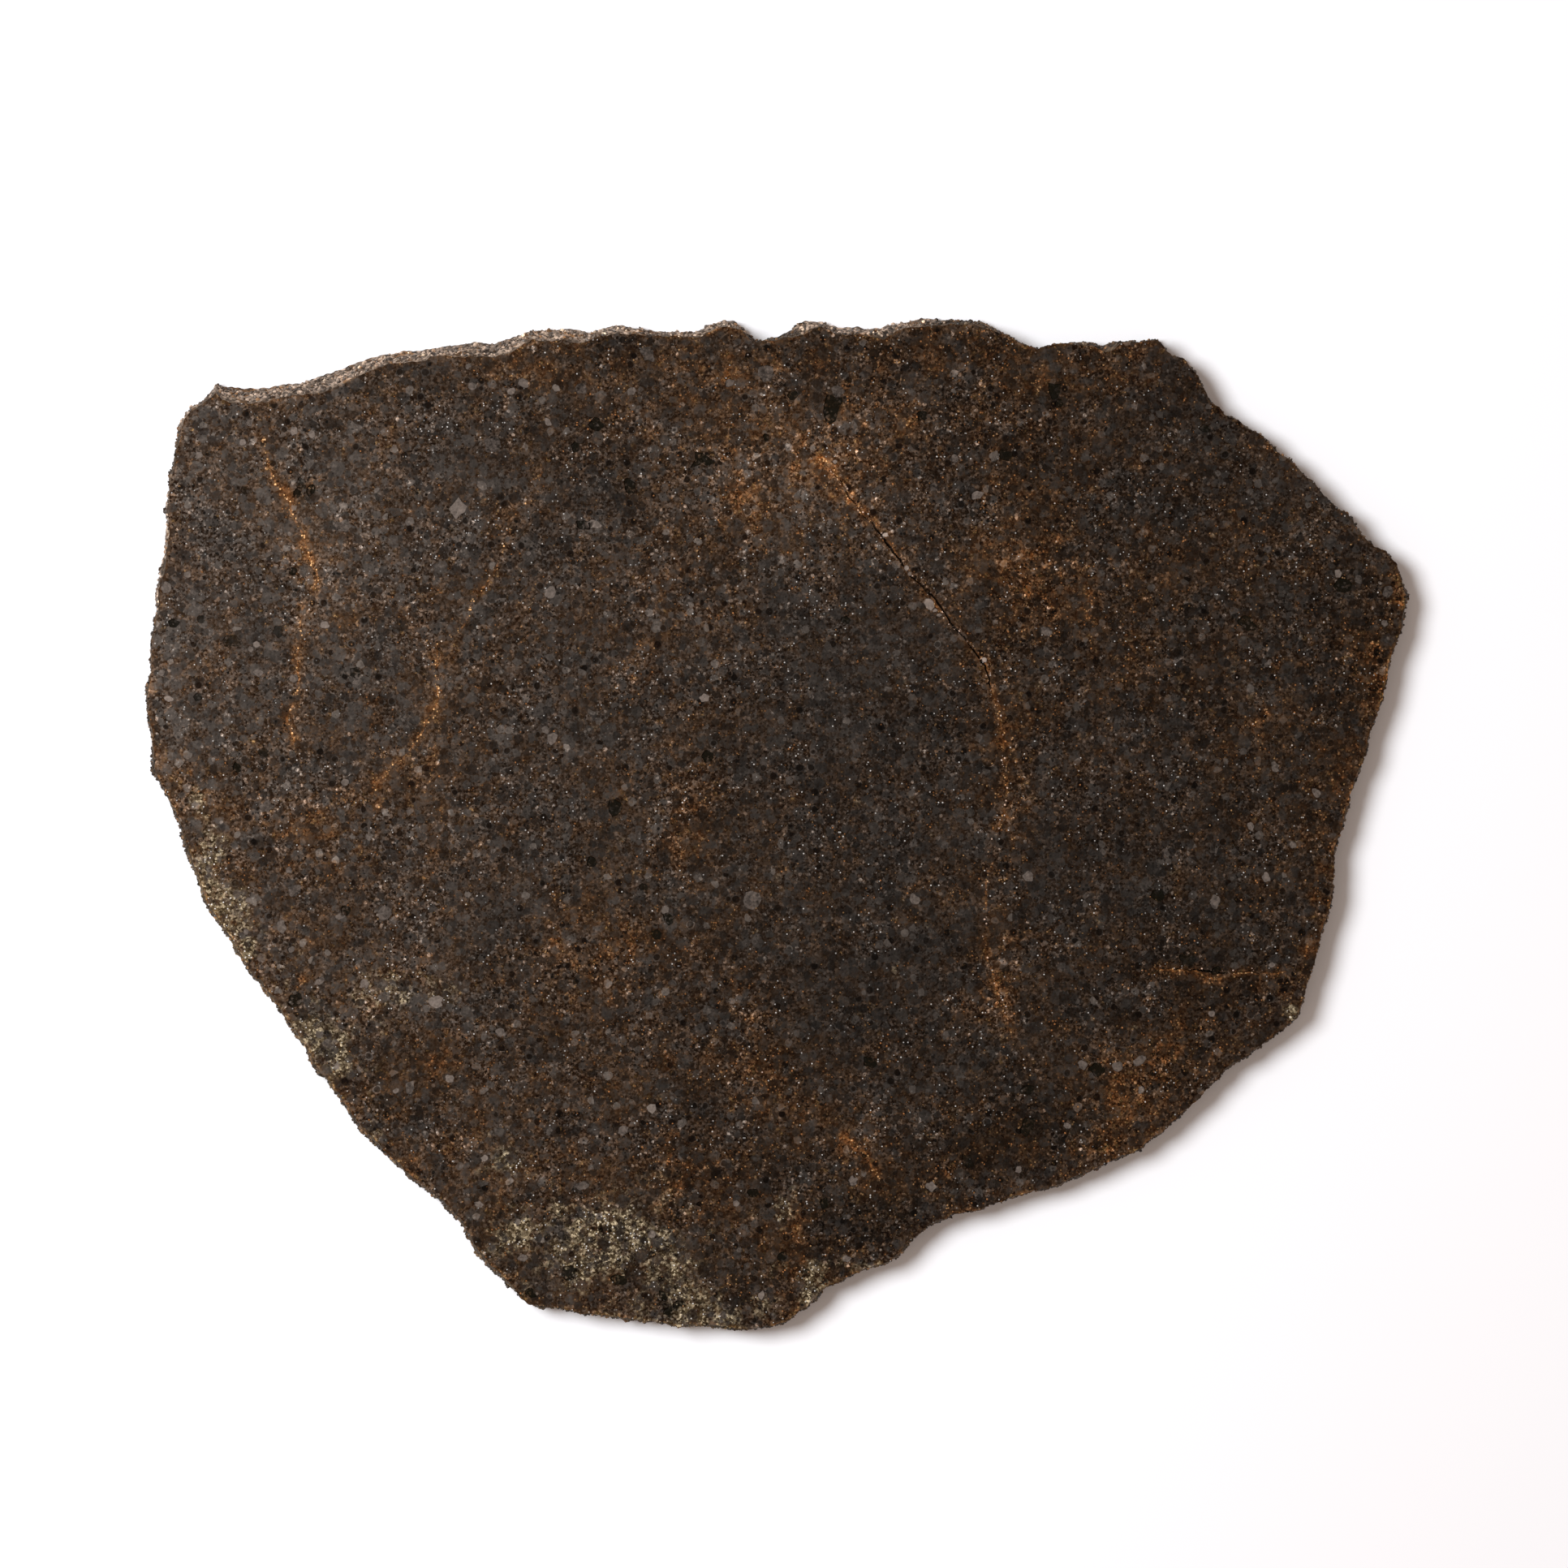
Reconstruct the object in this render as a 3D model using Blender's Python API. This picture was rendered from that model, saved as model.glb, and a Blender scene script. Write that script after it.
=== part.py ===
"""A thin slice sawn from a brachinite, a dark, sugary, olivine-rich meteorite.

The slice is one closed piece of stone. Two flat sawn faces lie a few millimetres apart, and a rough
broken wall joins them all the way round. The wall leans outwards along the upper left edge, where the
back face reaches further than the front one, and it is nearly upright elsewhere.

Units are metres, +Z is up and the slice lies on its back face. The origin is on that face, under the
middle of the slice.
"""

import math
import random

import bmesh
import bpy
from mathutils import Vector, noise

# Driving dimensions of the stone, in metres.
THICKNESS = 0.0027            # distance between the two sawn faces
OUTLINE_UNIT = 0.000065       # real length of one unit of the outline points below
COLUMN_SPACING = 0.00072      # distance between neighbouring columns of points round the wall
GRAIN_RELIEF = 0.00013        # how far single crystals stand out of or back from the wall
CHIP_RELIEF = 0.00022         # how far larger flakes have broken out of the wall
CHIP_SIZE = 0.0024            # width of those flakes
RIM_RELIEF = 0.00005          # how far crystals roughen the rims of the two sawn faces
DIRECTION_REACH = 4           # neighbours on each side that set which way a column faces

# Heights of the wall's rings as shares of the thickness, from the back face to the front face.
RING_HEIGHTS = (0.0, 0.2, 0.44, 0.66, 0.87, 1.0)

# The outline point that lies over the origin, and the outline's lean where none is listed.
MIDDLE = (954.0, 1015.0)
UPRIGHT = 0.0
SLIGHT_LEAN = 5.0

SEED = 7

# Rim of the front sawn face, in outline units: x to the right, y down. The third number says how far
# the back face reaches outside the rim there. The run starts at the upper left corner and goes
# clockwise along the upper edge, where the broken wall leans out the most, to the deep nick.
UPPER_LEFT_EDGE = (
    (266, 484, 13), (276, 494, 20), (304, 497, 21), (323, 494, 19), (344, 490, 19), (361, 488, 18),
    (378, 486, 19), (400, 483, 23), (412, 478, 22), (429, 469, 20), (446, 461, 19), (463, 454, 18),
    (480, 448, 15), (500, 446, 16), (519, 444, 16), (534, 439, 14), (553, 438, 15), (568, 440, 18),
    (584, 438, 20), (608, 440, 19), (620, 436, 19), (635, 431, 19), (647, 421, 13), (654, 418, 15),
    (672, 422, 18), (686, 419, 16), (703, 420, 18), (716, 425, 21), (724, 419, 13), (736, 414, 9),
    (749, 412, 11), (762, 410, 12), (787, 411, 8), (822, 415, 8), (850, 414, 7), (862, 415, 11),
    (879, 406, 9), (892, 402, 10), (904, 403, 10), (910, 403, 6), (917, 408, 5), (923, 415, 3),
    (928, 422, 2),
)

# From the nick to the small step past the middle of the upper edge.
UPPER_MIDDLE_EDGE = (
    (936, 420, 3), (954, 419, 6), (967, 417, 7), (975, 415, 9), (984, 413, 15), (994, 410, 18),
    (1005, 403, 11), (1017, 403, 7), (1028, 411, 11), (1040, 413, 11), (1051, 411, 13), (1063, 412, 10),
    (1074, 414, 12), (1088, 417, 16), (1099, 412, 15), (1112, 405, 8), (1128, 402, 10), (1143, 402, 12),
    (1159, 400, 9), (1178, 399, 7), (1212, 402, 6), (1222, 405, 4), (1237, 411, 2), (1256, 421, 1),
    (1268, 426, 0), (1275, 431, 0), (1283, 428, 0), (1308, 423, 1), (1340, 424, 4), (1352, 428, 7),
    (1360, 434, 12), (1371, 430, 11), (1381, 423, 4), (1392, 421, 1),
)

# The upper right edge, which drops in steps to the sharp spur at the far right.
UPPER_RIGHT_EDGE = (
    (1405, 422), (1425, 418), (1432, 423), (1441, 437), (1449, 440), (1463, 441), (1465, 450),
    (1474, 461), (1481, 471), (1493, 495), (1503, 503), (1514, 516), (1526, 517), (1538, 530),
    (1553, 534), (1564, 544), (1570, 555), (1580, 562), (1589, 565), (1601, 579), (1614, 590),
    (1624, 598), (1633, 612), (1648, 627), (1661, 634), (1671, 649), (1677, 658), (1684, 665),
    (1696, 676), (1705, 677), (1712, 685), (1719, 691), (1725, 704), (1728, 722), (1735, 727),
)

# The long right edge, down to the lower right corner.
RIGHT_EDGE = (
    (1731, 745), (1730, 758), (1725, 784), (1717, 798), (1712, 815), (1710, 836), (1705, 854),
    (1702, 865), (1694, 884), (1688, 904), (1683, 926), (1677, 944), (1666, 972), (1662, 990),
    (1656, 1006), (1654, 1018), (1645, 1045), (1644, 1060), (1642, 1107), (1640, 1116), (1634, 1130),
    (1629, 1147), (1624, 1166), (1617, 1195), (1608, 1222), (1603, 1241), (1601, 1249),
)

# The lower right edge, a low saw of small steps that runs down to the bottom lobe.
LOWER_RIGHT_EDGE = (
    (1592, 1260), (1583, 1267), (1578, 1271), (1566, 1280), (1540, 1298), (1534, 1304), (1513, 1316),
    (1507, 1320), (1503, 1327), (1494, 1334), (1483, 1346), (1479, 1353), (1466, 1362), (1459, 1367),
    (1457, 1372), (1443, 1385), (1432, 1396), (1411, 1410), (1408, 1414), (1391, 1421), (1366, 1431),
    (1345, 1443), (1316, 1455), (1302, 1461), (1283, 1465), (1257, 1473), (1231, 1481), (1198, 1493),
    (1175, 1495), (1167, 1500), (1152, 1506), (1138, 1515), (1130, 1523), (1118, 1533), (1116, 1538),
    (1099, 1553), (1094, 1557), (1066, 1563), (1044, 1573), (1036, 1579), (1016, 1587), (1008, 1598),
    (994, 1612), (978, 1619), (976, 1623), (964, 1631),
)

# The bottom edge, almost straight, from the lowest point to the lower left corner.
BOTTOM_EDGE = (
    (945, 1635), (915, 1639), (905, 1637), (894, 1635), (854, 1632), (834, 1636), (825, 1632),
    (800, 1628), (776, 1626), (751, 1622), (711, 1618), (702, 1614), (692, 1612), (658, 1609),
    (652, 1608), (641, 1600), (638, 1593),
)

# The long lower left edge, from the lower left corner up to the left-hand end.
LOWER_LEFT_EDGE = (
    (630, 1583), (619, 1573), (603, 1560), (596, 1549), (590, 1545), (586, 1537), (575, 1514),
    (567, 1502), (551, 1486), (545, 1478), (537, 1473), (507, 1450), (501, 1446), (496, 1439),
    (473, 1418), (467, 1410), (453, 1397), (445, 1390), (439, 1381), (427, 1362), (414, 1344),
    (401, 1327), (389, 1314), (379, 1294), (374, 1285), (364, 1271), (357, 1260), (346, 1243),
    (334, 1226), (327, 1217), (321, 1208), (312, 1203), (307, 1196), (304, 1187), (291, 1170),
    (282, 1152), (270, 1135), (261, 1125), (257, 1117), (250, 1098), (243, 1077), (238, 1068),
    (236, 1056), (229, 1039), (224, 1018), (216, 999), (207, 980), (196, 961), (191, 949), (189, 939),
)

# The left-hand end, up to the upper left corner.
LEFT_EDGE = (
    (189, 916), (187, 904), (183, 879), (182, 866), (181, 854), (182, 843), (186, 834), (187, 825),
    (186, 806), (188, 785), (192, 766), (195, 747), (194, 732), (195, 724), (199, 712), (204, 690),
    (206, 677), (207, 656), (208, 642), (204, 631), (209, 603), (212, 582), (217, 562), (221, 541),
    (223, 524), (229, 514), (242, 501), (257, 492),
)


def stone_material():
    """Dark brownish grey stone, dull rather than polished."""
    material = bpy.data.materials.new("brachinite_stone")
    material.use_nodes = True
    shader = material.node_tree.nodes["Principled BSDF"]
    shader.inputs["Base Color"].default_value = (0.045, 0.038, 0.032, 1.0)
    shader.inputs["Roughness"].default_value = 0.55
    shader.inputs["Metallic"].default_value = 0.0
    return material


def with_lean(points, lean):
    """Gives every point of an edge the same lean."""
    return [(x, y, lean) for x, y in points]


def rim_corners():
    """The whole rim as corners (x, y, lean) in metres, clockwise seen from above."""
    corners = list(UPPER_LEFT_EDGE) + list(UPPER_MIDDLE_EDGE)
    for edge in (UPPER_RIGHT_EDGE, RIGHT_EDGE, LOWER_RIGHT_EDGE, BOTTOM_EDGE):
        corners += with_lean(edge, UPRIGHT)
    for edge in (LOWER_LEFT_EDGE, LEFT_EDGE):
        corners += with_lean(edge, SLIGHT_LEAN)
    middle_x, middle_y = MIDDLE
    return [
        Vector(((x - middle_x), (middle_y - y), lean)) * OUTLINE_UNIT
        for x, y, lean in corners
    ]


def evenly_spaced(corners, spacing):
    """Walks the closed line through the corners and drops a point about every spacing metres."""
    lengths = []
    for index, corner in enumerate(corners):
        following = corners[(index + 1) % len(corners)]
        lengths.append((following - corner).xy.length)
    count = round(sum(lengths) / spacing)
    step = sum(lengths) / count
    points = []
    index = 0
    walked = 0.0
    for number in range(count):
        target = number * step
        while walked + lengths[index] < target:
            walked += lengths[index]
            index += 1
        share = (target - walked) / lengths[index]
        following = corners[(index + 1) % len(corners)]
        points.append(corners[index].lerp(following, share))
    return points


def outward_directions(points):
    """The level direction that points out of the stone at every column."""
    directions = []
    for index in range(len(points)):
        before = points[index - DIRECTION_REACH]
        after = points[(index + DIRECTION_REACH) % len(points)]
        along = (after - before).xy.normalized()
        directions.append(Vector((-along.y, along.x)))
    return directions


def chip_depth(place, height):
    """Slow swell of the broken wall, where flakes of several crystals have come away."""
    sample = Vector((place.x, place.y, height)) / CHIP_SIZE
    return CHIP_RELIEF * noise.noise(sample)


def wall_rings(points, directions):
    """Rings of positions from the back face to the front face, roughened like broken stone."""
    generator = random.Random(SEED)
    top_ring = len(RING_HEIGHTS) - 1
    rings = []
    for number, share in enumerate(RING_HEIGHTS):
        ring = []
        for point, outward in zip(points, directions):
            lean = point.z
            height = share * THICKNESS
            reach = lean * (1.0 - share)
            if number in (0, top_ring):
                reach += generator.uniform(-1.0, 1.0) * RIM_RELIEF
            else:
                bulge = math.sin(math.pi * share)
                reach += generator.uniform(-1.0, 1.0) * GRAIN_RELIEF
                reach += chip_depth(point, height) * bulge
                height += generator.uniform(-1.0, 1.0) * GRAIN_RELIEF
            place = point.xy + outward * reach
            ring.append(Vector((place.x, place.y, height)))
        rings.append(ring)
    return rings


def build_slice():
    """Joins the rings into a wall and closes it with the two sawn faces."""
    points = evenly_spaced(rim_corners(), COLUMN_SPACING)
    rings = wall_rings(points, outward_directions(points))

    body = bmesh.new()
    ring_vertices = [[body.verts.new(position) for position in ring] for ring in rings]
    columns = len(points)
    for lower, upper in zip(ring_vertices, ring_vertices[1:]):
        for index in range(columns):
            following = (index + 1) % columns
            corners = (lower[index], upper[index], upper[following], lower[following])
            # The diagonal changes side from column to column, so that no grain of it shows.
            if index % 2:
                body.faces.new((corners[0], corners[1], corners[2]))
                body.faces.new((corners[0], corners[2], corners[3]))
            else:
                body.faces.new((corners[0], corners[1], corners[3]))
                body.faces.new((corners[1], corners[2], corners[3]))
    body.faces.new(ring_vertices[-1])
    body.faces.new(ring_vertices[0])
    bmesh.ops.triangulate(body, faces=[face for face in body.faces if len(face.verts) > 4])
    bmesh.ops.recalc_face_normals(body, faces=body.faces)

    mesh = bpy.data.meshes.new("meteorite_slice")
    body.to_mesh(mesh)
    body.free()
    stone = bpy.data.objects.new("meteorite_slice", mesh)
    stone.data.materials.append(stone_material())
    bpy.context.scene.collection.objects.link(stone)
    return stone


def main():
    for existing in list(bpy.data.objects):
        bpy.data.objects.remove(existing, do_unlink=True)
    build_slice()


main()
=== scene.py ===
# %% [markdown]
# # A slice of a brachinite meteorite
# The object is one thin slice of stone from space, about ten centimetres across and as thick as a
# coin. Its two big faces were sawn flat, and its edge is the rough broken skin of the stone.
# The lesson builds it from the outside in: first the places read from the photograph, then one
# closed body with a fine granular edge, then loose crystals on that edge, then the two finishes,
# and last the light and the camera.

# %% Load the measured body
import math
import random
from collections import namedtuple
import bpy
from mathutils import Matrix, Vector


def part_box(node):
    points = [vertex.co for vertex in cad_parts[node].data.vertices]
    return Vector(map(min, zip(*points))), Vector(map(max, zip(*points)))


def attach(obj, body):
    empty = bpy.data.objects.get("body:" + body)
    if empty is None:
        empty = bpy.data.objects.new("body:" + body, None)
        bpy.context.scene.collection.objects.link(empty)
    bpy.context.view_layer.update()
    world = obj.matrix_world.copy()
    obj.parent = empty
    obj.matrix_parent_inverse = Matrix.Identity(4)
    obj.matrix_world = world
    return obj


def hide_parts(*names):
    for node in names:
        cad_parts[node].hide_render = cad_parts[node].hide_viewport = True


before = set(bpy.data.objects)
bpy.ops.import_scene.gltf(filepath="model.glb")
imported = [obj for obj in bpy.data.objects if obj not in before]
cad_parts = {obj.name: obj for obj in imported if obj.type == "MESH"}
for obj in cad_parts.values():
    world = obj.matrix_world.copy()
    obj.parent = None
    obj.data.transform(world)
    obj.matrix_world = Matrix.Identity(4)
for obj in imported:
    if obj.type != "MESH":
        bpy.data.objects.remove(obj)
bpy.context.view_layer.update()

from types import SimpleNamespace

import bmesh
import bpy
import numpy as np
from mathutils import Vector, geometry, kdtree, noise
from mathutils.bvhtree import BVHTree

body_low, body_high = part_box("meteorite_slice")
thickness = body_high[2] - body_low[2]

# %% [markdown]
# ## From the photograph to the stone
# The camera looked straight down, so a place in the photograph is a place on the sawn face. One
# pixel is 0.065 mm long there. All the places below are given in pixels of the photograph, because
# that is how they were found, and one small function turns them into millimetres on the stone.
# Reading places one by one keeps the veins and the odd crystals where this one stone has them,
# which no random pattern can do.

# %% Turn a place in the photograph into a place on the stone
PIXEL = 0.065
MIDDLE_X = 954.0
MIDDLE_Y = 1015.0


def on_stone(x, y):
    """The place on the sawn face, in millimetres, of a place in the photograph."""
    return ((x - MIDDLE_X) * PIXEL, (MIDDLE_Y - y) * PIXEL)


print("the photograph's centre lies at", on_stone(966, 966), "mm")

# %% [markdown]
# ## Veins and cracks
# Water has crept into the stone along old fractures and left rust. Seen from the saw's side these
# are thin orange lines, and one of them is still an open hairline crack. Each is written down as a
# line of points, with how strong it is there from 0 to 1. A line of points is easy to correct and
# can bend anywhere, which a drawn curve object would only make harder to read.

# %% Where the rusty veins run
LEFT_VEIN = [
    (324, 535, 0.35), (331, 573, 0.5), (339, 596, 0.6), (351, 605, 1.0), (356, 620, 0.9),
    (359, 632, 0.6), (368, 650, 0.35), (376, 667, 0.7), (380, 683, 0.9), (385, 694, 0.8),
    (391, 711, 0.7), (386, 728, 0.5), (371, 752, 0.5), (369, 786, 0.6), (366, 816, 0.8),
    (369, 836, 0.8), (363, 863, 0.6), (353, 884, 1.0), (360, 907, 0.6), (363, 917, 0.5),
    (368, 935, 0.2),
]
SECOND_VEIN = [
    (676, 572, 0.2), (670, 579, 0.3), (653, 606, 0.4), (640, 630, 0.3), (633, 640, 0.4),
    (621, 672, 0.4), (609, 705, 0.5), (587, 732, 0.4), (571, 772, 0.5), (550, 787, 0.4),
    (538, 796, 0.5), (538, 826, 0.6), (540, 860, 0.7), (528, 887, 0.6), (515, 910, 0.6),
    (498, 934, 0.5), (480, 945, 0.5), (467, 961, 0.6), (462, 978, 0.5), (467, 1005, 0.3),
]
SECOND_VEIN_BRANCH = [
    (540, 862, 0.4), (542, 887, 0.4), (543, 917, 0.3), (533, 944, 0.3), (530, 975, 0.1),
]
LONG_VEIN_RUST = [
    (1005, 568, 0.7), (1018, 566, 0.9), (1029, 577, 0.9), (1039, 603, 0.6), (1052, 620, 0.9),
    (1062, 631, 1.0), (1075, 646, 0.9), (1090, 661, 0.6), (1106, 684, 0.6), (1120, 705, 0.7),
    (1140, 732, 0.7), (1150, 742, 0.7), (1174, 770, 0.7), (1194, 794, 0.6), (1214, 815, 0.7),
    (1219, 838, 0.8), (1228, 870, 0.6), (1236, 903, 0.5), (1238, 945, 0.5), (1242, 969, 0.5),
    (1237, 1002, 0.6), (1226, 1027, 0.5), (1219, 1056, 0.5), (1216, 1085, 0.4), (1215, 1114, 0.4),
    (1212, 1143, 0.4), (1215, 1180, 0.4), (1226, 1205, 0.5), (1232, 1228, 0.6), (1239, 1249, 0.7),
    (1243, 1267, 0.5), (1250, 1290, 0.2),
]
LOWER_RIGHT_VEIN = [
    (1424, 1194, 0.5), (1430, 1196, 0.8), (1441, 1195, 0.9), (1455, 1196, 0.9), (1472, 1196, 0.8),
    (1480, 1200, 0.9), (1487, 1204, 1.0), (1499, 1206, 1.0), (1510, 1203, 0.9), (1522, 1201, 1.0),
    (1531, 1199, 0.9), (1552, 1200, 0.7), (1566, 1200, 0.5), (1590, 1198, 0.3),
]
LOW_STREAK = [
    (1039, 1400, 1.0), (1051, 1408, 0.8), (1066, 1421, 0.6), (1077, 1442, 0.8), (1085, 1461, 0.7),
    (1091, 1471, 0.4),
]
RIGHT_STREAK = [(1564, 871, 0.2), (1547, 893, 0.3), (1551, 920, 0.25), (1546, 937, 0.1)]
EDGE_STREAK = [(1616, 1161, 0.8), (1609, 1168, 0.9), (1611, 1176, 0.7)]
TOP_STREAK = [(1132, 470, 0.1), (1126, 498, 0.3), (1120, 520, 0.5), (1112, 536, 0.2)]
RUSTY_VEINS = [
    LEFT_VEIN, SECOND_VEIN, SECOND_VEIN_BRANCH, LONG_VEIN_RUST, LOWER_RIGHT_VEIN,
    LOW_STREAK, RIGHT_STREAK, EDGE_STREAK, TOP_STREAK,
]
print("rusty veins", len(RUSTY_VEINS), "points", sum(len(vein) for vein in RUSTY_VEINS))

# %% Where the open cracks run
LONG_CRACK = [
    (1004, 556, 0.1), (1016, 570, 0.3), (1029, 583, 0.4), (1036, 594, 0.6), (1045, 611, 0.7),
    (1056, 625, 0.6), (1069, 640, 0.7), (1080, 652, 0.9), (1090, 665, 1.0), (1100, 680, 1.0),
    (1109, 690, 1.0), (1120, 705, 0.9), (1130, 717, 0.8), (1142, 729, 0.8), (1153, 738, 0.9),
    (1160, 748, 0.8), (1166, 758, 1.0), (1174, 770, 1.0), (1186, 785, 1.0), (1197, 798, 1.0),
    (1207, 810, 1.0), (1215, 822, 0.9), (1218, 838, 0.8), (1228, 870, 0.4), (1236, 903, 0.3),
    (1238, 945, 0.4), (1242, 969, 0.4), (1237, 1002, 0.4), (1226, 1027, 0.6), (1219, 1056, 0.5),
    (1216, 1085, 0.4), (1215, 1114, 0.3), (1212, 1143, 0.3), (1215, 1180, 0.2), (1226, 1205, 0.3),
    (1239, 1249, 0.2), (1243, 1267, 0.1),
]
LOWER_RIGHT_CRACK = [
    (1441, 1193, 0.4), (1455, 1194, 0.6), (1472, 1194, 0.7), (1482, 1197, 0.9), (1492, 1197, 1.0),
    (1504, 1198, 1.0), (1512, 1200, 0.7), (1524, 1198, 0.5), (1540, 1198, 0.5), (1560, 1198, 0.3),
]
OPEN_CRACKS = [LONG_CRACK, LOWER_RIGHT_CRACK]
print("open cracks", len(OPEN_CRACKS), "points", sum(len(crack) for crack in OPEN_CRACKS))

# %% [markdown]
# ## Crystals that stand out
# Most of the stone is a fine mush of olivine, too small to place one by one. A few crystals are
# large, pale or black enough to be its face, so to speak: whoever knows this slice would miss them.
# They are listed with their middle, their width in pixels and their tone, where 1 is a pale grey in
# the first list and the blackest in the second. The largest are drawn corner by corner, each with
# its tone first: above 0 it is pale, below 0 it is dark.

# %% The pale crystals
PALE_CRYSTALS = [
    (594, 598, 11, 0.5), (678, 730, 13, 0.6), (400, 770, 9, 0.8), (868, 860, 10, 0.85),
    (672, 899, 8, 0.4), (1127, 1108, 12, 0.55), (617, 1272, 10, 0.5), (1267, 1080, 12, 0.5),
    (1497, 1111, 13, 0.4), (1147, 1462, 11, 0.65), (362, 531, 9, 0.8), (384, 535, 8, 0.7),
    (307, 521, 7, 0.5), (299, 545, 7, 0.8), (245, 561, 8, 0.7), (422, 648, 16, 0.35),
    (582, 476, 9, 0.5), (645, 472, 11, 0.55), (630, 482, 8, 0.7), (685, 478, 8, 0.7),
    (675, 520, 8, 0.6), (778, 482, 9, 0.5), (899, 472, 9, 0.5), (732, 646, 12, 0.75),
    (1032, 482, 14, 0.3), (716, 479, 13, 0.3), (607, 548, 18, 0.3), (798, 436, 16, 0.25),
    (1674, 714, 9, 0.3), (1710, 729, 12, 0.25), (1706, 768, 7, 0.4), (1571, 945, 10, 0.4),
    (1622, 977, 10, 0.5), (1541, 1018, 8, 0.6), (1560, 1081, 10, 0.6), (1593, 1041, 8, 0.5),
    (1493, 1249, 7, 0.6), (1567, 1189, 6, 0.6), (1406, 1343, 7, 0.7), (1315, 1387, 7, 0.6),
    (1255, 1441, 7, 0.6), (1334, 1312, 10, 0.5), (1377, 1314, 12, 0.5), (1404, 1307, 12, 0.45),
    (1051, 1455, 10, 0.6), (1043, 1551, 8, 0.6), (938, 1596, 8, 0.9), (907, 1483, 7, 0.6),
    (597, 1427, 7, 0.9), (590, 1484, 8, 0.6), (803, 1521, 9, 0.6), (644, 1550, 9, 0.5),
    (717, 1461, 12, 0.45), (554, 1329, 9, 0.8), (488, 1344, 6, 0.6), (505, 1340, 12, 0.4),
    (347, 1142, 12, 0.5), (419, 1129, 8, 0.5), (363, 1097, 14, 0.35), (356, 1072, 7, 0.5),
    (306, 1109, 6, 0.6), (303, 1148, 6, 0.6), (394, 1209, 9, 0.5), (359, 1170, 7, 0.5),
    (449, 1212, 10, 0.7), (474, 1125, 16, 0.4), (208, 861, 8, 1.1), (199, 829, 7, 0.6),
    (318, 829, 9, 0.6), (362, 836, 9, 0.6), (439, 839, 8, 0.6), (328, 994, 14, 0.4),
    (425, 964, 8, 0.7), (316, 794, 7, 0.8), (309, 800, 6, 0.6), (231, 708, 7, 0.6),
    (205, 724, 12, 0.6), (1225, 562, 11, 0.45), (1204, 610, 11, 0.6), (1289, 778, 11, 0.4),
    # The seven small entries along the long crack, from (1091, 659) to (1029, 569), are painted glints:
    # highlights of light on the crack, given as tiny pale crystals.
    (1176, 565, 9, 0.35), (1150, 600, 8, 0.3), (1091, 659, 5, 1.9), (1117, 700, 5, 1.0),
    (1121, 707, 4, 0.6), (1152, 752, 4, 0.8), (1157, 758, 4, 0.7), (1213, 813, 5, 1.5),
    (1029, 569, 4, 1.0), (651, 682, 5, 0.5), (610, 931, 4, 0.5),
]
print("pale crystals", len(PALE_CRYSTALS))

# %% The dark crystals and pits
DARK_CRYSTALS = [
    (793, 1093, 9, 0.55), (729, 1062, 11, 0.9), (872, 932, 13, 0.7), (1072, 1309, 13, 0.8),
    (371, 596, 12, 0.55), (383, 604, 11, 0.9), (366, 608, 9, 0.8), (378, 612, 8, 0.4),
    (302, 604, 9, 0.5), (735, 523, 15, 0.7), (709, 551, 10, 0.7), (776, 599, 15, 0.8),
    (719, 647, 13, 0.7), (944, 539, 7, 0.8), (977, 487, 11, 0.7), (1305, 497, 9, 0.7),
    (1239, 561, 14, 0.6), (1485, 528, 10, 0.6), (1537, 768, 18, 0.6), (1464, 1182, 18, 0.5),
    (1266, 1343, 13, 0.6), (1266, 1388, 18, 0.6), (1352, 1318, 16, 0.9), (1192, 1431, 14, 0.5),
    (1016, 1483, 11, 0.7), (928, 1470, 11, 0.7), (964, 1548, 11, 0.7), (763, 1577, 15, 0.8),
    (654, 1593, 11, 0.9), (823, 1616, 9, 0.9), (835, 1607, 9, 0.9), (817, 1597, 10, 0.8),
    (542, 1304, 12, 0.3), (364, 1233, 16, 0.6), (426, 1122, 11, 0.7), (325, 927, 11, 0.55),
    (292, 946, 10, 0.7), (244, 859, 9, 0.6), (343, 778, 12, 0.5), (364, 753, 12, 0.3),
    (248, 763, 9, 0.55), (214, 768, 11, 0.7), (438, 829, 12, 0.6), (286, 790, 17, 0.5),
    (361, 704, 9, 0.7), (1136, 512, 11, 0.7), (1042, 764, 9, 0.7), (1498, 1196, 9, 1.0),
    (520, 826, 13, 0.35),
]
print("dark crystals", len(DARK_CRYSTALS))

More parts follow.
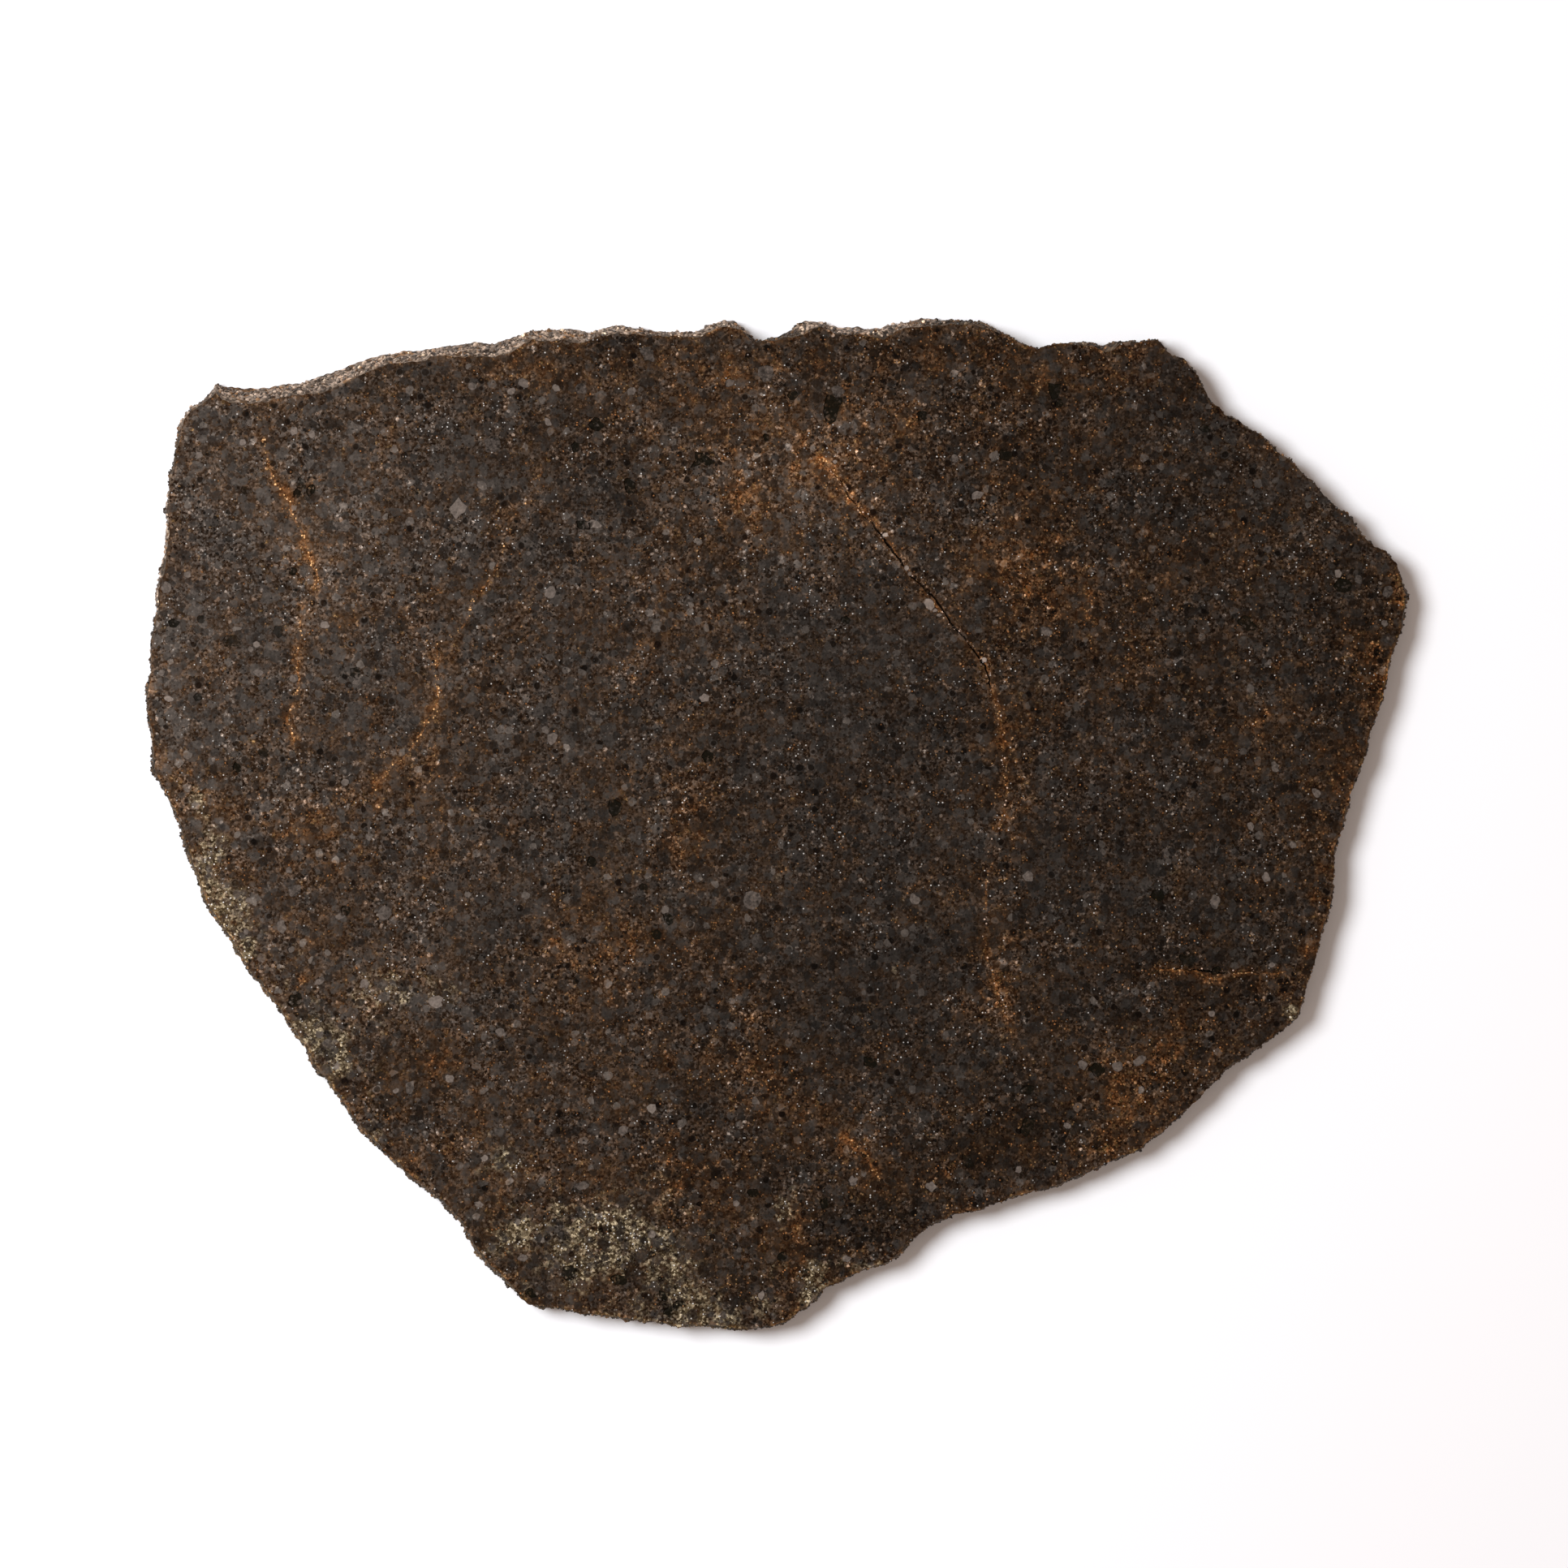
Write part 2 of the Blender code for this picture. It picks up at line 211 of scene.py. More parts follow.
# %% The largest crystals, drawn corner by corner
DRAWN_CRYSTALS = [
    (0.70, [
        (565, 613), (569, 619), (575, 624), (572, 631), (566, 634), (562, 640), (558, 634),
        (553, 627), (559, 621),
    ]),
    (0.36, [
        (919, 1100), (926, 1098), (935, 1101), (938, 1108), (934, 1116), (927, 1121), (919, 1118),
        (916, 1110),
    ]),
    (0.55, [
        (675, 906), (682, 903), (687, 906), (684, 914), (679, 918), (675, 914),
    ]),
    (0.90, [
        (797, 1364), (801, 1361), (807, 1361), (808, 1367), (804, 1372), (799, 1369),
    ]),
    (0.45, [
        (763, 1390), (768, 1387), (774, 1389), (772, 1396), (767, 1399), (762, 1396),
    ]),
    (0.90, [
        (1141, 738), (1146, 738), (1150, 742), (1151, 748), (1147, 752), (1142, 749), (1139, 743),
    ]),
    (0.30, [
        (935, 453), (945, 450), (952, 453), (953, 462), (949, 469), (941, 470), (934, 462),
    ]),
    (0.85, [
        (529, 1230), (534, 1228), (541, 1227), (546, 1230), (543, 1235), (545, 1239), (538, 1242),
        (531, 1239), (528, 1234),
    ]),
    (0.75, [
        (1645, 703), (1650, 702), (1653, 706), (1651, 711), (1646, 711),
    ]),
    (-1.0, [
        (1019, 487), (1025, 487), (1030, 491), (1037, 490), (1038, 495), (1034, 502), (1032, 508),
        (1030, 518), (1024, 522), (1018, 519), (1015, 508), (1016, 498),
    ]),
    (-1.0, [
        (751, 986), (758, 986), (765, 990), (767, 995), (764, 1000), (760, 1004), (755, 1006),
        (751, 1000), (750, 992),
    ]),
    (-0.8, [
        (1421, 1097), (1432, 1097), (1434, 1106), (1430, 1110), (1424, 1109), (1418, 1104),
    ]),
    (-0.8, [
        (1650, 713), (1660, 714), (1666, 719), (1664, 727), (1657, 730), (1648, 728), (1643, 722),
    ]),
    (-0.6, [
        (695, 1561), (703, 1560), (709, 1563), (710, 1571), (706, 1577), (698, 1578), (692, 1570),
    ]),
    (-0.9, [
        (857, 557), (866, 559), (875, 565), (880, 570), (872, 574), (866, 571), (858, 574),
        (850, 577), (857, 567),
    ]),
    (-0.9, [
        (817, 1127), (823, 1125), (829, 1130), (829, 1137), (824, 1140), (819, 1134),
    ]),
    (-0.7, [
        (803, 1146), (810, 1146), (815, 1150), (813, 1157), (807, 1157), (803, 1152),
    ]),
    (-0.8, [
        (1292, 472), (1300, 474), (1307, 473), (1306, 482), (1303, 490), (1297, 492), (1293, 484),
    ]),
]
print("drawn crystals", len(DRAWN_CRYSTALS))

# %% [markdown]
# ## Zones of colour
# Over the whole slice the stone is not one colour. Rust has soaked into broad patches, some parts
# are a cooler bluish grey, and along the lower left the saw tore the surface open, so it looks pale
# olive and sugary. Each zone is a soft oval: its centre, its two half widths in pixels and its
# strength. A few dozen soft ovals add up to an irregular map, and stay easy to move.

# %% Where rust has soaked in
RUST_ZONES = [
    (975, 570, 95, 100, 0.55), (1035, 590, 45, 45, 0.35), (900, 640, 60, 60, 0.3),
    (1260, 700, 75, 85, 0.7), (1300, 727, 50, 35, 0.5), (1235, 900, 35, 110, 0.5),
    (1243, 1000, 32, 55, 0.35), (1235, 1190, 38, 80, 0.5), (1230, 1240, 25, 35, 0.4),
    (1400, 760, 70, 80, 0.3), (1695, 820, 30, 60, 0.8), (1650, 950, 40, 90, 0.5),
    (1630, 1100, 25, 80, 0.4), (1390, 1350, 50, 60, 0.8), (1445, 1305, 35, 35, 0.5),
    (1360, 1415, 50, 28, 0.7), (1470, 1350, 40, 30, 0.4), (740, 1190, 110, 90, 0.4),
    (690, 1135, 35, 50, 0.35), (770, 1150, 40, 40, 0.3), (930, 1260, 38, 80, 0.45),
    (955, 1340, 40, 50, 0.5), (1060, 1410, 60, 55, 0.45), (865, 1460, 70, 60, 0.45),
    (840, 1000, 28, 110, 0.4), (838, 1045, 22, 30, 0.4), (360, 1030, 75, 55, 0.3),
    (655, 450, 90, 32, 0.4), (870, 440, 120, 38, 0.4), (1150, 435, 130, 45, 0.35),
    (1240, 500, 38, 55, 0.35), (1350, 445, 100, 28, 0.5), (545, 1300, 26, 30, 0.5),
    (538, 900, 32, 90, 0.3), (475, 965, 30, 30, 0.35), (380, 690, 35, 60, 0.2),
    (190, 843, 14, 22, 0.9), (985, 1540, 18, 55, 0.8), (1020, 1575, 30, 14, 0.7),
    (1095, 1548, 50, 15, 0.4), (1500, 1207, 80, 14, 0.35), (1590, 1225, 30, 25, 0.5),
    (1100, 530, 70, 40, 0.35), (860, 500, 90, 40, 0.25), (900, 560, 50, 60, 0.3),
    (330, 545, 40, 40, 0.15), (1560, 700, 120, 100, 0.12), (1480, 1260, 90, 40, 0.25),
    (420, 1330, 40, 50, 0.2), (600, 1500, 60, 60, 0.15), (1519, 934, 14, 10, 0.6),
    (1409, 655, 14, 14, 0.7),
]
SMALL_RUST_SPOTS = [
    (900, 460), (1290, 460), (349, 1019), (378, 1204), (726, 1484), (830, 1432), (843, 1461),
    (1142, 1448), (1169, 1444), (1260, 1469), (1630, 1076), (1620, 1106), (1726, 744), (1421, 1233),
    (496, 1371), (430, 516), (591, 728), (1575, 822), (1562, 882), (687, 1165), (683, 1103),
    (820, 1312),
]
RUST_ZONES += [(x, y, 9, 9, 0.8) for x, y in SMALL_RUST_SPOTS]
print("rust zones", len(RUST_ZONES))

# %% Where the stone is cool grey, torn and olive, lighter or darker
COOL_ZONES = [
    (285, 740, 60, 150, 0.5), (1040, 800, 110, 140, 0.9), (1020, 665, 50, 40, 0.6),
    (1120, 1250, 90, 100, 0.7), (560, 640, 80, 90, 0.4), (700, 720, 70, 70, 0.35),
    (1150, 570, 60, 45, 0.3), (1420, 1060, 120, 90, 0.3), (1480, 530, 90, 60, 0.35),
    (470, 1140, 30, 25, 0.6), (545, 1235, 30, 20, 0.6), (240, 540, 40, 40, 0.3),
    (470, 1345, 40, 30, 0.4), (1500, 1000, 120, 70, 0.25), (800, 850, 90, 70, 0.2),
    (650, 1080, 90, 40, 0.2),
]
TORN_ZONES = [
    (265, 1050, 14, 26, 0.8), (245, 985, 12, 20, 0.5), (280, 1112, 28, 26, 1.0),
    (297, 1164, 24, 20, 0.8), (382, 1270, 26, 26, 0.9), (415, 1304, 16, 30, 0.9),
    (460, 1398, 18, 12, 0.7), (460, 1225, 42, 32, 0.6), (520, 1222, 40, 22, 0.5),
    (587, 1380, 9, 14, 0.6), (621, 1425, 17, 18, 0.6), (635, 1520, 26, 18, 0.8),
    (688, 1487, 13, 7, 0.7), (752, 1508, 34, 22, 0.8), (712, 1560, 14, 24, 0.7),
    (751, 1553, 18, 12, 0.6), (790, 1525, 24, 16, 0.5), (832, 1562, 28, 28, 0.65),
    (850, 1606, 30, 22, 0.65), (898, 1628, 16, 8, 0.7), (965, 1500, 8, 8, 0.8),
    (987, 1524, 6, 20, 0.6), (1005, 1570, 6, 6, 0.8), (992, 1598, 10, 9, 0.8),
    (1592, 1247, 9, 9, 0.8), (760, 1560, 150, 70, 0.35), (330, 1210, 50, 80, 0.3),
    (420, 1310, 40, 50, 0.3), (250, 1030, 25, 60, 0.3), (660, 1510, 80, 60, 0.3),
    (930, 1610, 60, 18, 0.45), (800, 1480, 50, 50, 0.25), (965, 1490, 26, 22, 0.5),
    (1000, 1575, 22, 26, 0.6), (1060, 1558, 60, 10, 0.45), (620, 1430, 40, 30, 0.3),
    (250, 1100, 16, 60, 0.5), (700, 1625, 90, 10, 0.4), (860, 1632, 60, 10, 0.5),
    (1130, 1530, 30, 10, 0.3), (480, 1440, 30, 16, 0.3), (215, 960, 10, 40, 0.3),
]
TONE_ZONES = [
    (970, 570, 100, 90, 0.4), (1030, 580, 50, 40, 0.2), (535, 860, 25, 90, 0.2),
    (390, 680, 60, 60, 0.2), (350, 600, 40, 30, 0.15), (400, 750, 30, 30, 0.15),
    (480, 1225, 60, 28, 0.25), (730, 560, 50, 60, -0.2), (560, 480, 60, 40, -0.1),
    (500, 1330, 70, 60, -0.3), (420, 1110, 60, 50, -0.15), (880, 930, 60, 60, -0.15),
    (1060, 1240, 90, 100, -0.25), (880, 1440, 70, 40, -0.25), (1045, 1520, 60, 30, -0.4),
    (1270, 1370, 70, 50, -0.35), (1500, 480, 80, 50, -0.15), (1250, 560, 60, 50, -0.12),
    (1470, 800, 40, 60, -0.2), (1690, 780, 30, 30, -0.3), (1640, 890, 40, 50, -0.15),
    (870, 1330, 40, 60, -0.2), (1243, 1000, 30, 40, 0.25), (1230, 1220, 25, 50, 0.3),
    (1230, 860, 30, 40, 0.2), (1150, 735, 30, 30, 0.25), (1090, 660, 40, 40, 0.2),
    (1390, 1350, 40, 60, 0.35), (1065, 1400, 40, 40, 0.35), (560, 1040, 30, 30, 0.15),
    (350, 1000, 40, 30, 0.1), (255, 1050, 25, 40, 0.2), (740, 1150, 60, 40, 0.2),
    (850, 960, 40, 60, 0.12), (800, 760, 40, 60, 0.1), (1230, 680, 60, 60, 0.2),
    (1330, 740, 60, 50, 0.12), (1590, 860, 50, 50, 0.12), (1510, 1100, 60, 50, 0.1),
    (700, 1510, 60, 30, 0.15), (850, 1580, 50, 30, 0.15), (630, 1450, 30, 50, 0.1),
    (1070, 1500, 70, 25, -0.25), (950, 1580, 50, 30, -0.15), (800, 720, 120, 150, 0.12),
    (430, 650, 90, 80, 0.28), (960, 600, 110, 100, 0.2), (1420, 800, 150, 120, -0.08),
    (640, 1430, 50, 50, 0.12), (930, 1530, 50, 60, 0.2), (1110, 640, 40, 50, 0.15),
    (1090, 640, 160, 120, 0.1), (850, 970, 60, 100, 0.15), (480, 780, 90, 80, 0.12),
    (1450, 770, 70, 70, 0.1), (1620, 660, 50, 50, 0.15), (540, 1260, 60, 90, 0.15),
    (780, 430, 80, 40, -0.18), (1190, 1430, 70, 50, -0.45), (1480, 1200, 110, 90, -0.2),
    (1050, 1050, 60, 60, -0.2), (1370, 450, 80, 60, -0.08), (250, 1040, 60, 120, -0.2),
    (700, 1530, 300, 60, -0.1), (1120, 940, 60, 80, -0.14), (1330, 590, 90, 90, -0.12),
    (1120, 440, 60, 40, -0.15), (970, 1560, 50, 40, -0.15), (1240, 780, 60, 60, -0.08),
    (480, 430, 60, 30, -0.1), (930, 950, 60, 50, -0.12), (230, 640, 50, 70, -0.1),
    (1560, 1100, 60, 60, -0.06), (1330, 1040, 60, 60, -0.08), (1050, 1010, 40, 50, -0.08),
    (900, 1430, 120, 50, -0.08), (640, 440, 120, 35, -0.1), (1200, 430, 160, 40, -0.15),
    (890, 540, 80, 60, -0.1), (1220, 620, 130, 130, -0.1), (1240, 860, 60, 80, -0.1),
    (1650, 850, 40, 60, -0.1), (600, 850, 90, 50, 0.1), (840, 750, 60, 50, 0.1),
    (760, 1270, 60, 60, -0.1), (950, 1270, 60, 60, -0.1), (1490, 1200, 80, 16, -0.15),
    (1440, 1340, 60, 50, -0.12), (980, 1440, 200, 50, -0.12), (1050, 1560, 60, 30, -0.12),
    (930, 1540, 40, 50, 0.1), (1420, 850, 50, 50, -0.08),
]
# Painted light: where the broken wall faces the lamp, along the upper left and left, it is painted
# paler, as lit.
PAINTED_LIT_ZONES = [
    (250, 505, 50, 40, 1.0), (330, 480, 60, 40, 1.0), (420, 450, 70, 40, 1.0),
    (520, 425, 70, 40, 1.0), (610, 410, 60, 40, 0.9), (690, 402, 60, 35, 0.8),
    (770, 405, 50, 30, 0.8), (850, 400, 50, 30, 0.7), (900, 388, 40, 25, 0.8),
    (1040, 395, 70, 22, 0.9), (1130, 395, 60, 20, 0.5), (205, 650, 16, 60, 0.8),
    (195, 735, 14, 30, 0.7), (185, 810, 12, 18, 0.6), (372, 1290, 20, 22, 0.5),
    (190, 900, 12, 30, 0.4),
]
WARM_ZONES = [
    (1150, 430, 520, 90, 0.20), (820, 1560, 420, 130, 0.28), (1660, 950, 190, 400, 0.20),
    (1330, 1330, 260, 130, 0.20), (420, 1250, 160, 200, 0.15), (250, 760, 150, 260, -0.12),
    (1220, 590, 160, 110, 0.22), (1370, 840, 110, 110, 0.20), (790, 760, 80, 80, 0.28),
    (860, 960, 60, 90, 0.15), (600, 1350, 220, 60, 0.15), (1180, 1440, 90, 50, 0.20),
    (950, 540, 80, 60, -0.28), (660, 1130, 100, 60, -0.25), (235, 1030, 60, 110, 0.4),
    (1530, 970, 90, 100, 0.22), (700, 1420, 260, 110, 0.15), (800, 1220, 60, 60, 0.12),
    (1350, 560, 80, 70, 0.22), (430, 1040, 60, 60, 0.2), (940, 930, 60, 60, -0.12),
    (540, 850, 60, 60, -0.1), (1230, 1450, 60, 60, 0.3), (1250, 1240, 50, 60, -0.1),
    (640, 440, 80, 30, 0.14), (540, 1040, 60, 60, 0.14), (860, 1030, 60, 80, 0.14),
    (1240, 1130, 50, 50, 0.16), (790, 1250, 90, 60, 0.12), (880, 1350, 90, 60, 0.14),
    (1360, 1340, 60, 50, 0.12), (1340, 930, 50, 60, 0.14), (1040, 1530, 60, 30, 0.2),
    (330, 1120, 40, 50, 0.15), (1640, 950, 60, 60, -0.12), (780, 530, 80, 50, 0.12),
    (1726, 725, 10, 36, 0.6), (1700, 820, 12, 60, 0.3),
]
print("cool", len(COOL_ZONES), "torn", len(TORN_ZONES), "tone", len(TONE_ZONES))
print("painted_lit", len(PAINTED_LIT_ZONES), "warm", len(WARM_ZONES))

# %% [markdown]
# ## The rim of the sawn face
# The measured body already has the slice's outline, with a corner every 0.7 mm. To follow it the
# script walks round the border of its front face: every border edge has the flat face on one side
# and the broken wall on the other. The body arrives as loose triangles, so a copy is merged first,
# and the body itself is left alone.

# %% Merge a copy of the body and walk round its front rim
def merged_copy(node):
    """A copy of a node's mesh in which corners at the same place are one corner."""
    copy = bmesh.new()
    copy.from_mesh(node.data)
    bmesh.ops.remove_doubles(copy, verts=copy.verts, dist=1e-6)
    copy.normal_update()
    return copy


def lies_in_front(face, height):
    """Whether a face of the body is part of its flat front face."""
    return face.normal.z > 0.999 and face.calc_center_median().z > height - 1e-6


def front_rim(copy, height):
    """The corners of the front face's border, in order, seen from the front counter-clockwise."""
    neighbours = {}
    for edge in copy.edges:
        if sum(lies_in_front(face, height) for face in edge.link_faces) == 1:
            first, second = edge.verts
            neighbours.setdefault(first, []).append(second)
            neighbours.setdefault(second, []).append(first)
    start = next(iter(neighbours))
    walk = [start, neighbours[start][0]]
    while True:
        step = [corner for corner in neighbours[walk[-1]] if corner is not walk[-2]][0]
        if step is start:
            break
        walk.append(step)
    corners = [(corner.co.x, corner.co.y) for corner in walk]
    area = sum(a[0] * b[1] - b[0] * a[1] for a, b in zip(corners, corners[1:] + corners[:1]))
    return corners if area > 0 else corners[::-1]


body_copy = merged_copy(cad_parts["meteorite_slice"])
body_tree = BVHTree.FromBMesh(body_copy)
rim_corners = np.array(front_rim(body_copy, thickness)) * 1000.0
body_copy.free()
print("rim corners", len(rim_corners))

# %% [markdown]
# ## Columns of the broken wall
# A broken edge of a granular stone is made of the crystals themselves: it is lumpy at every size
# down to half a millimetre. The wall is laid out as a grid, 3000 columns round the stone and
# fourteen rows up it. Even columns come from walking the rim at equal steps. For each column the
# script also needs the direction that points out of the stone, smoothed over a few millimetres.

# %% Space the columns evenly round the rim
COLUMNS = 3000
SMOOTHING = 16


def walked_evenly(corners, count):
    """Points at equal steps along a closed line of corners."""
    closed = np.vstack([corners, corners[:1]])
    lengths = np.hypot(*np.diff(closed, axis=0).T)
    reached = np.concatenate([[0.0], np.cumsum(lengths)])
    wanted = np.arange(count) * reached[-1] / count
    return np.column_stack([np.interp(wanted, reached, closed[:, axis]) for axis in (0, 1)]), reached[-1]


def outward_of(points, reach):
    """The level direction out of a counter-clockwise closed line, at each of its points."""
    along = np.roll(points, -reach, axis=0) - np.roll(points, reach, axis=0)
    along /= np.linalg.norm(along, axis=1)[:, None]
    return np.column_stack([along[:, 1], -along[:, 0]])


rim, rim_length = walked_evenly(rim_corners, COLUMNS)
outward = outward_of(rim, SMOOTHING)
print("rim length in mm", round(rim_length, 1), "column width", round(rim_length / COLUMNS, 3))

# %% [markdown]
# ## Grains on the wall
# Each point of the wall starts on the measured body, found by a ray from inside the stone. Then it
# moves out or in by the shape of the crystals there. A Voronoi pattern gives that shape: near the
# middle of a cell the surface bulges, between cells it sinks. Two sizes of cells make crystals and
# the chips that stuck to them. The rim itself moves least, so that the sawn face keeps its outline.

# %% Raise the wall row by row
ROW_SHARES = [0.0, 0.05, 0.13, 0.22, 0.31, 0.40, 0.49, 0.58, 0.67, 0.76, 0.85, 0.92, 0.97, 1.0]
BIG_GRAIN = 0.85
BIG_BULGE = 0.15
SMALL_GRAIN = 0.42
SMALL_BULGE = 0.09
RIM_GRAIN = 0.55
RIM_BULGE = 0.10
RIM_SINKS = 0.02
RAY_STARTS_INSIDE = 0.8
RAY_LENGTH = 0.004


def wall_distance(column, height):
    """How far out the measured wall is from the rim, in mm, at a height in mm."""
    start = (rim[column] - outward[column] * RAY_STARTS_INSIDE) / 1000.0
    direction = Vector((outward[column][0], outward[column][1], 0.0))
    hit = body_tree.ray_cast(Vector((start[0], start[1], height / 1000.0)), direction, RAY_LENGTH)
    if hit[0] is None:
        return 0.0
    return hit[3] * 1000.0 - RAY_STARTS_INSIDE


def grain_bulge(place, size):
    """Swelling of crystals of one size: 1 in the middle of a crystal, less than 0 between them."""
    nearest = noise.voronoi(place / size)[0][0]
    return 1.0 - 2.1 * nearest


def wall_point(column, up, distance, free):
    """A point of the wall: out by its distance from the rim, then moved by the crystals there."""
    flat = rim[column] + outward[column] * distance
    place = Vector((flat[0], flat[1], up))
    crystal = BIG_BULGE * grain_bulge(place, BIG_GRAIN) + SMALL_BULGE * grain_bulge(place, SMALL_GRAIN)
    edge = RIM_BULGE * grain_bulge(Vector((flat[0], flat[1], 0.0)), RIM_GRAIN) - RIM_SINKS
    move = edge + (crystal - edge) * free
    lift = 0.05 * noise.noise(place / 0.3) * free
    return flat[0] + outward[column][0] * move, flat[1] + outward[column][1] * move, up + lift


def wall_grid():
    """Places of the wall, row by row from the back face to the front face, in mm."""
    rows = []
    deep = thickness * 1000.0
    for share in ROW_SHARES:
        row = []
        free = math.sin(math.pi * share) ** 0.5
        height = min(max(share * deep, 0.02), deep - 0.02)
        for column in range(COLUMNS):
            distance = wall_distance(column, height) if share < 1.0 else 0.0
            row.append(wall_point(column, share * deep, distance, free))
        rows.append(row)
    return np.array(rows)


wall = wall_grid()
wall_places = wall.reshape(-1, 3)
print("wall points", len(wall_places), "reach in mm", wall_places.min(0), wall_places.max(0))

# %% [markdown]
# ## Points of the sawn face
# The saw left a flat face, so it needs few points, except where something is really cut into it:
# the open cracks are fine grooves, the dark crystals have fallen out or sit deeper, and the pale
# ones stop at a sharp border. The face gets points along those things first and an even scatter
# between them. Points that crowd each other are left out. All these lengths are in millimetres.

# %% Lay points along the cracks and round the crystals
LINE_STEP = 0.12
VEIN_WANDER = 0.13
CRACK_WANDER = 0.15


def along_line(line, step):
    """Places at equal steps along a line of points, with their strength."""
    corners = np.array([on_stone(x, y) + (strength,) for x, y, strength in line])
    lengths = np.hypot(*np.diff(corners[:, :2], axis=0).T)
    reached = np.concatenate([[0.0], np.cumsum(lengths)])
    wanted = np.arange(0.0, reached[-1], step)
    return np.column_stack([np.interp(wanted, reached, corners[:, axis]) for axis in (0, 1, 2)])


def shake(x, y, layer, size):
    """Two smooth random numbers for a place, the same in every run."""
    spot = Vector((x, y, layer)) / size
    return np.array([noise.noise(spot), noise.noise(spot + Vector((31.4, 7.2, 5.9)))])


def wandering(line, step, wander):
    """The same places, shifted a little from side to side as a real fracture runs."""
    places = along_line(line, step)
    for place in places:
        x, y = place[:2]
        place[:2] += wander * (shake(x, y, 3.3, 0.7) + 0.5 * shake(x, y, 7.7, 0.25))
    return places


def side_steps(places):
    """Unit steps across a line of places."""
    along = np.gradient(places[:, :2], axis=0)
    along /= np.linalg.norm(along, axis=1)[:, None] + 1e-9
    return np.column_stack([-along[:, 1], along[:, 0]])


vein_places = [wandering(vein, LINE_STEP, VEIN_WANDER) for vein in RUSTY_VEINS]
crack_places = [wandering(crack, LINE_STEP, CRACK_WANDER) for crack in OPEN_CRACKS]
print("places along veins", sum(map(len, vein_places)), "along cracks", sum(map(len, crack_places)))

# %% Ring each crystal with points
RING_STEP = 0.11
BORDER = 0.06


def crystal_ring(x, y, across, grow, generator_seed):
    """An uneven ring of places round a crystal. Its shape depends on the crystal alone."""
    generator = random.Random(generator_seed)
    middle = on_stone(x, y)
    radius = across * PIXEL / 2.0
    count = max(9, int(2.0 * math.pi * radius / RING_STEP))
    stretch = generator.uniform(0.8, 1.25)
    turn = generator.uniform(0.0, math.pi)
    bumps = [generator.uniform(-0.12, 0.12) for _ in range(4)]
    side = 2.0 * math.pi / generator.choice([5, 6, 6, 7])
    ring = []
    for number in range(count):
        angle = 2.0 * math.pi * number / count
        flat = math.cos(side / 2.0) / math.cos(angle % side - side / 2.0)
        swell = sum(bump * math.cos((order + 2) * angle + order) for order, bump in enumerate(bumps))
        reach = radius * (0.25 + 0.85 * flat) * (1.0 + swell) + grow
        out_x = reach * math.cos(angle) * stretch
        out_y = reach * math.sin(angle) / stretch
        ring.append((middle[0] + out_x * math.cos(turn) - out_y * math.sin(turn),
                     middle[1] + out_x * math.sin(turn) + out_y * math.cos(turn)))
    return ring


def drawn_ring(corners, grow):
    """Places along a drawn outline, moved outward by grow, and its middle."""
    outline = np.array([on_stone(x, y) for x, y in corners])
    middle = outline.mean(axis=0)
    ring = []
    for here, ahead in zip(outline, np.roll(outline, -1, axis=0)):
        steps = max(1, int(np.hypot(*(ahead - here)) / RING_STEP))
        ring += [here + (ahead - here) * step / steps for step in range(steps)]
    ring = np.array(ring) - middle
    ring *= 1.0 + grow / np.linalg.norm(ring, axis=1)[:, None]
    return ring + middle, middle


def crystal_rows(inner, outer, middle, deep, tone):
    """Rows of (x, y, depth, tone): a crystal's rim, plain points just outside it, its middle."""
    rows = [(*place, deep, tone) for place in inner]
    rows += [(*place, 0.0, 0.0) for place in outer]
    return rows + [(*middle, deep, tone)]


print("a crystal 12 pixels wide has", len(crystal_ring(966, 966, 12, 0.0, 1)), "points on its rim")

# %% Gather the points of the face with their depth and tone
VEIN_HALF_WIDTH = 0.16
GROOVE_HALF_WIDTH = 0.055
GROOVE_DEPTH = 0.22
DARK_SEEDS = 500


def crystal_points():
    """Rows for every crystal that is drawn or listed. The dark ones lie deeper than the face."""
    rows = []
    for tone, corners in DRAWN_CRYSTALS:
        deep = 0.05 - 0.05 * tone if tone < 0.0 else 0.0
        inner, middle = drawn_ring(corners, 0.0)
        rows += crystal_rows(inner, drawn_ring(corners, BORDER)[0], middle, deep, tone)
    for number, (x, y, across, tone) in enumerate(PALE_CRYSTALS):
        rings = [crystal_ring(x, y, across, grow, number) for grow in (0.0, BORDER)]
        rows += crystal_rows(*rings, on_stone(x, y), 0.0, tone)
    for number, (x, y, across, tone) in enumerate(DARK_CRYSTALS, DARK_SEEDS):
        rings = [crystal_ring(x, y, across, grow, number) for grow in (0.0, BORDER)]
        rows += crystal_rows(*rings, on_stone(x, y), 0.05 + 0.08 * tone, -tone)
    return np.array(rows)


def line_points():
    """Rows for the veins and the cracks: the line itself, and a level place on either side."""
    lines = [(places, np.full(len(places), VEIN_HALF_WIDTH), 0.0) for places in vein_places]
    for places in crack_places:
        lines.append((places, GROOVE_HALF_WIDTH * (0.6 + 0.9 * places[:, 2]), GROOVE_DEPTH))
    rows = []
    for places, half_widths, deepest in lines:
        for (x, y, strength), (side_x, side_y), half in zip(places, side_steps(places), half_widths):
            rows.append((x, y, deepest * strength, 0.0))
            rows.append((x + side_x * half, y + side_y * half, 0.0, 0.0))
            rows.append((x - side_x * half, y - side_y * half, 0.0, 0.0))
    return np.array(rows)


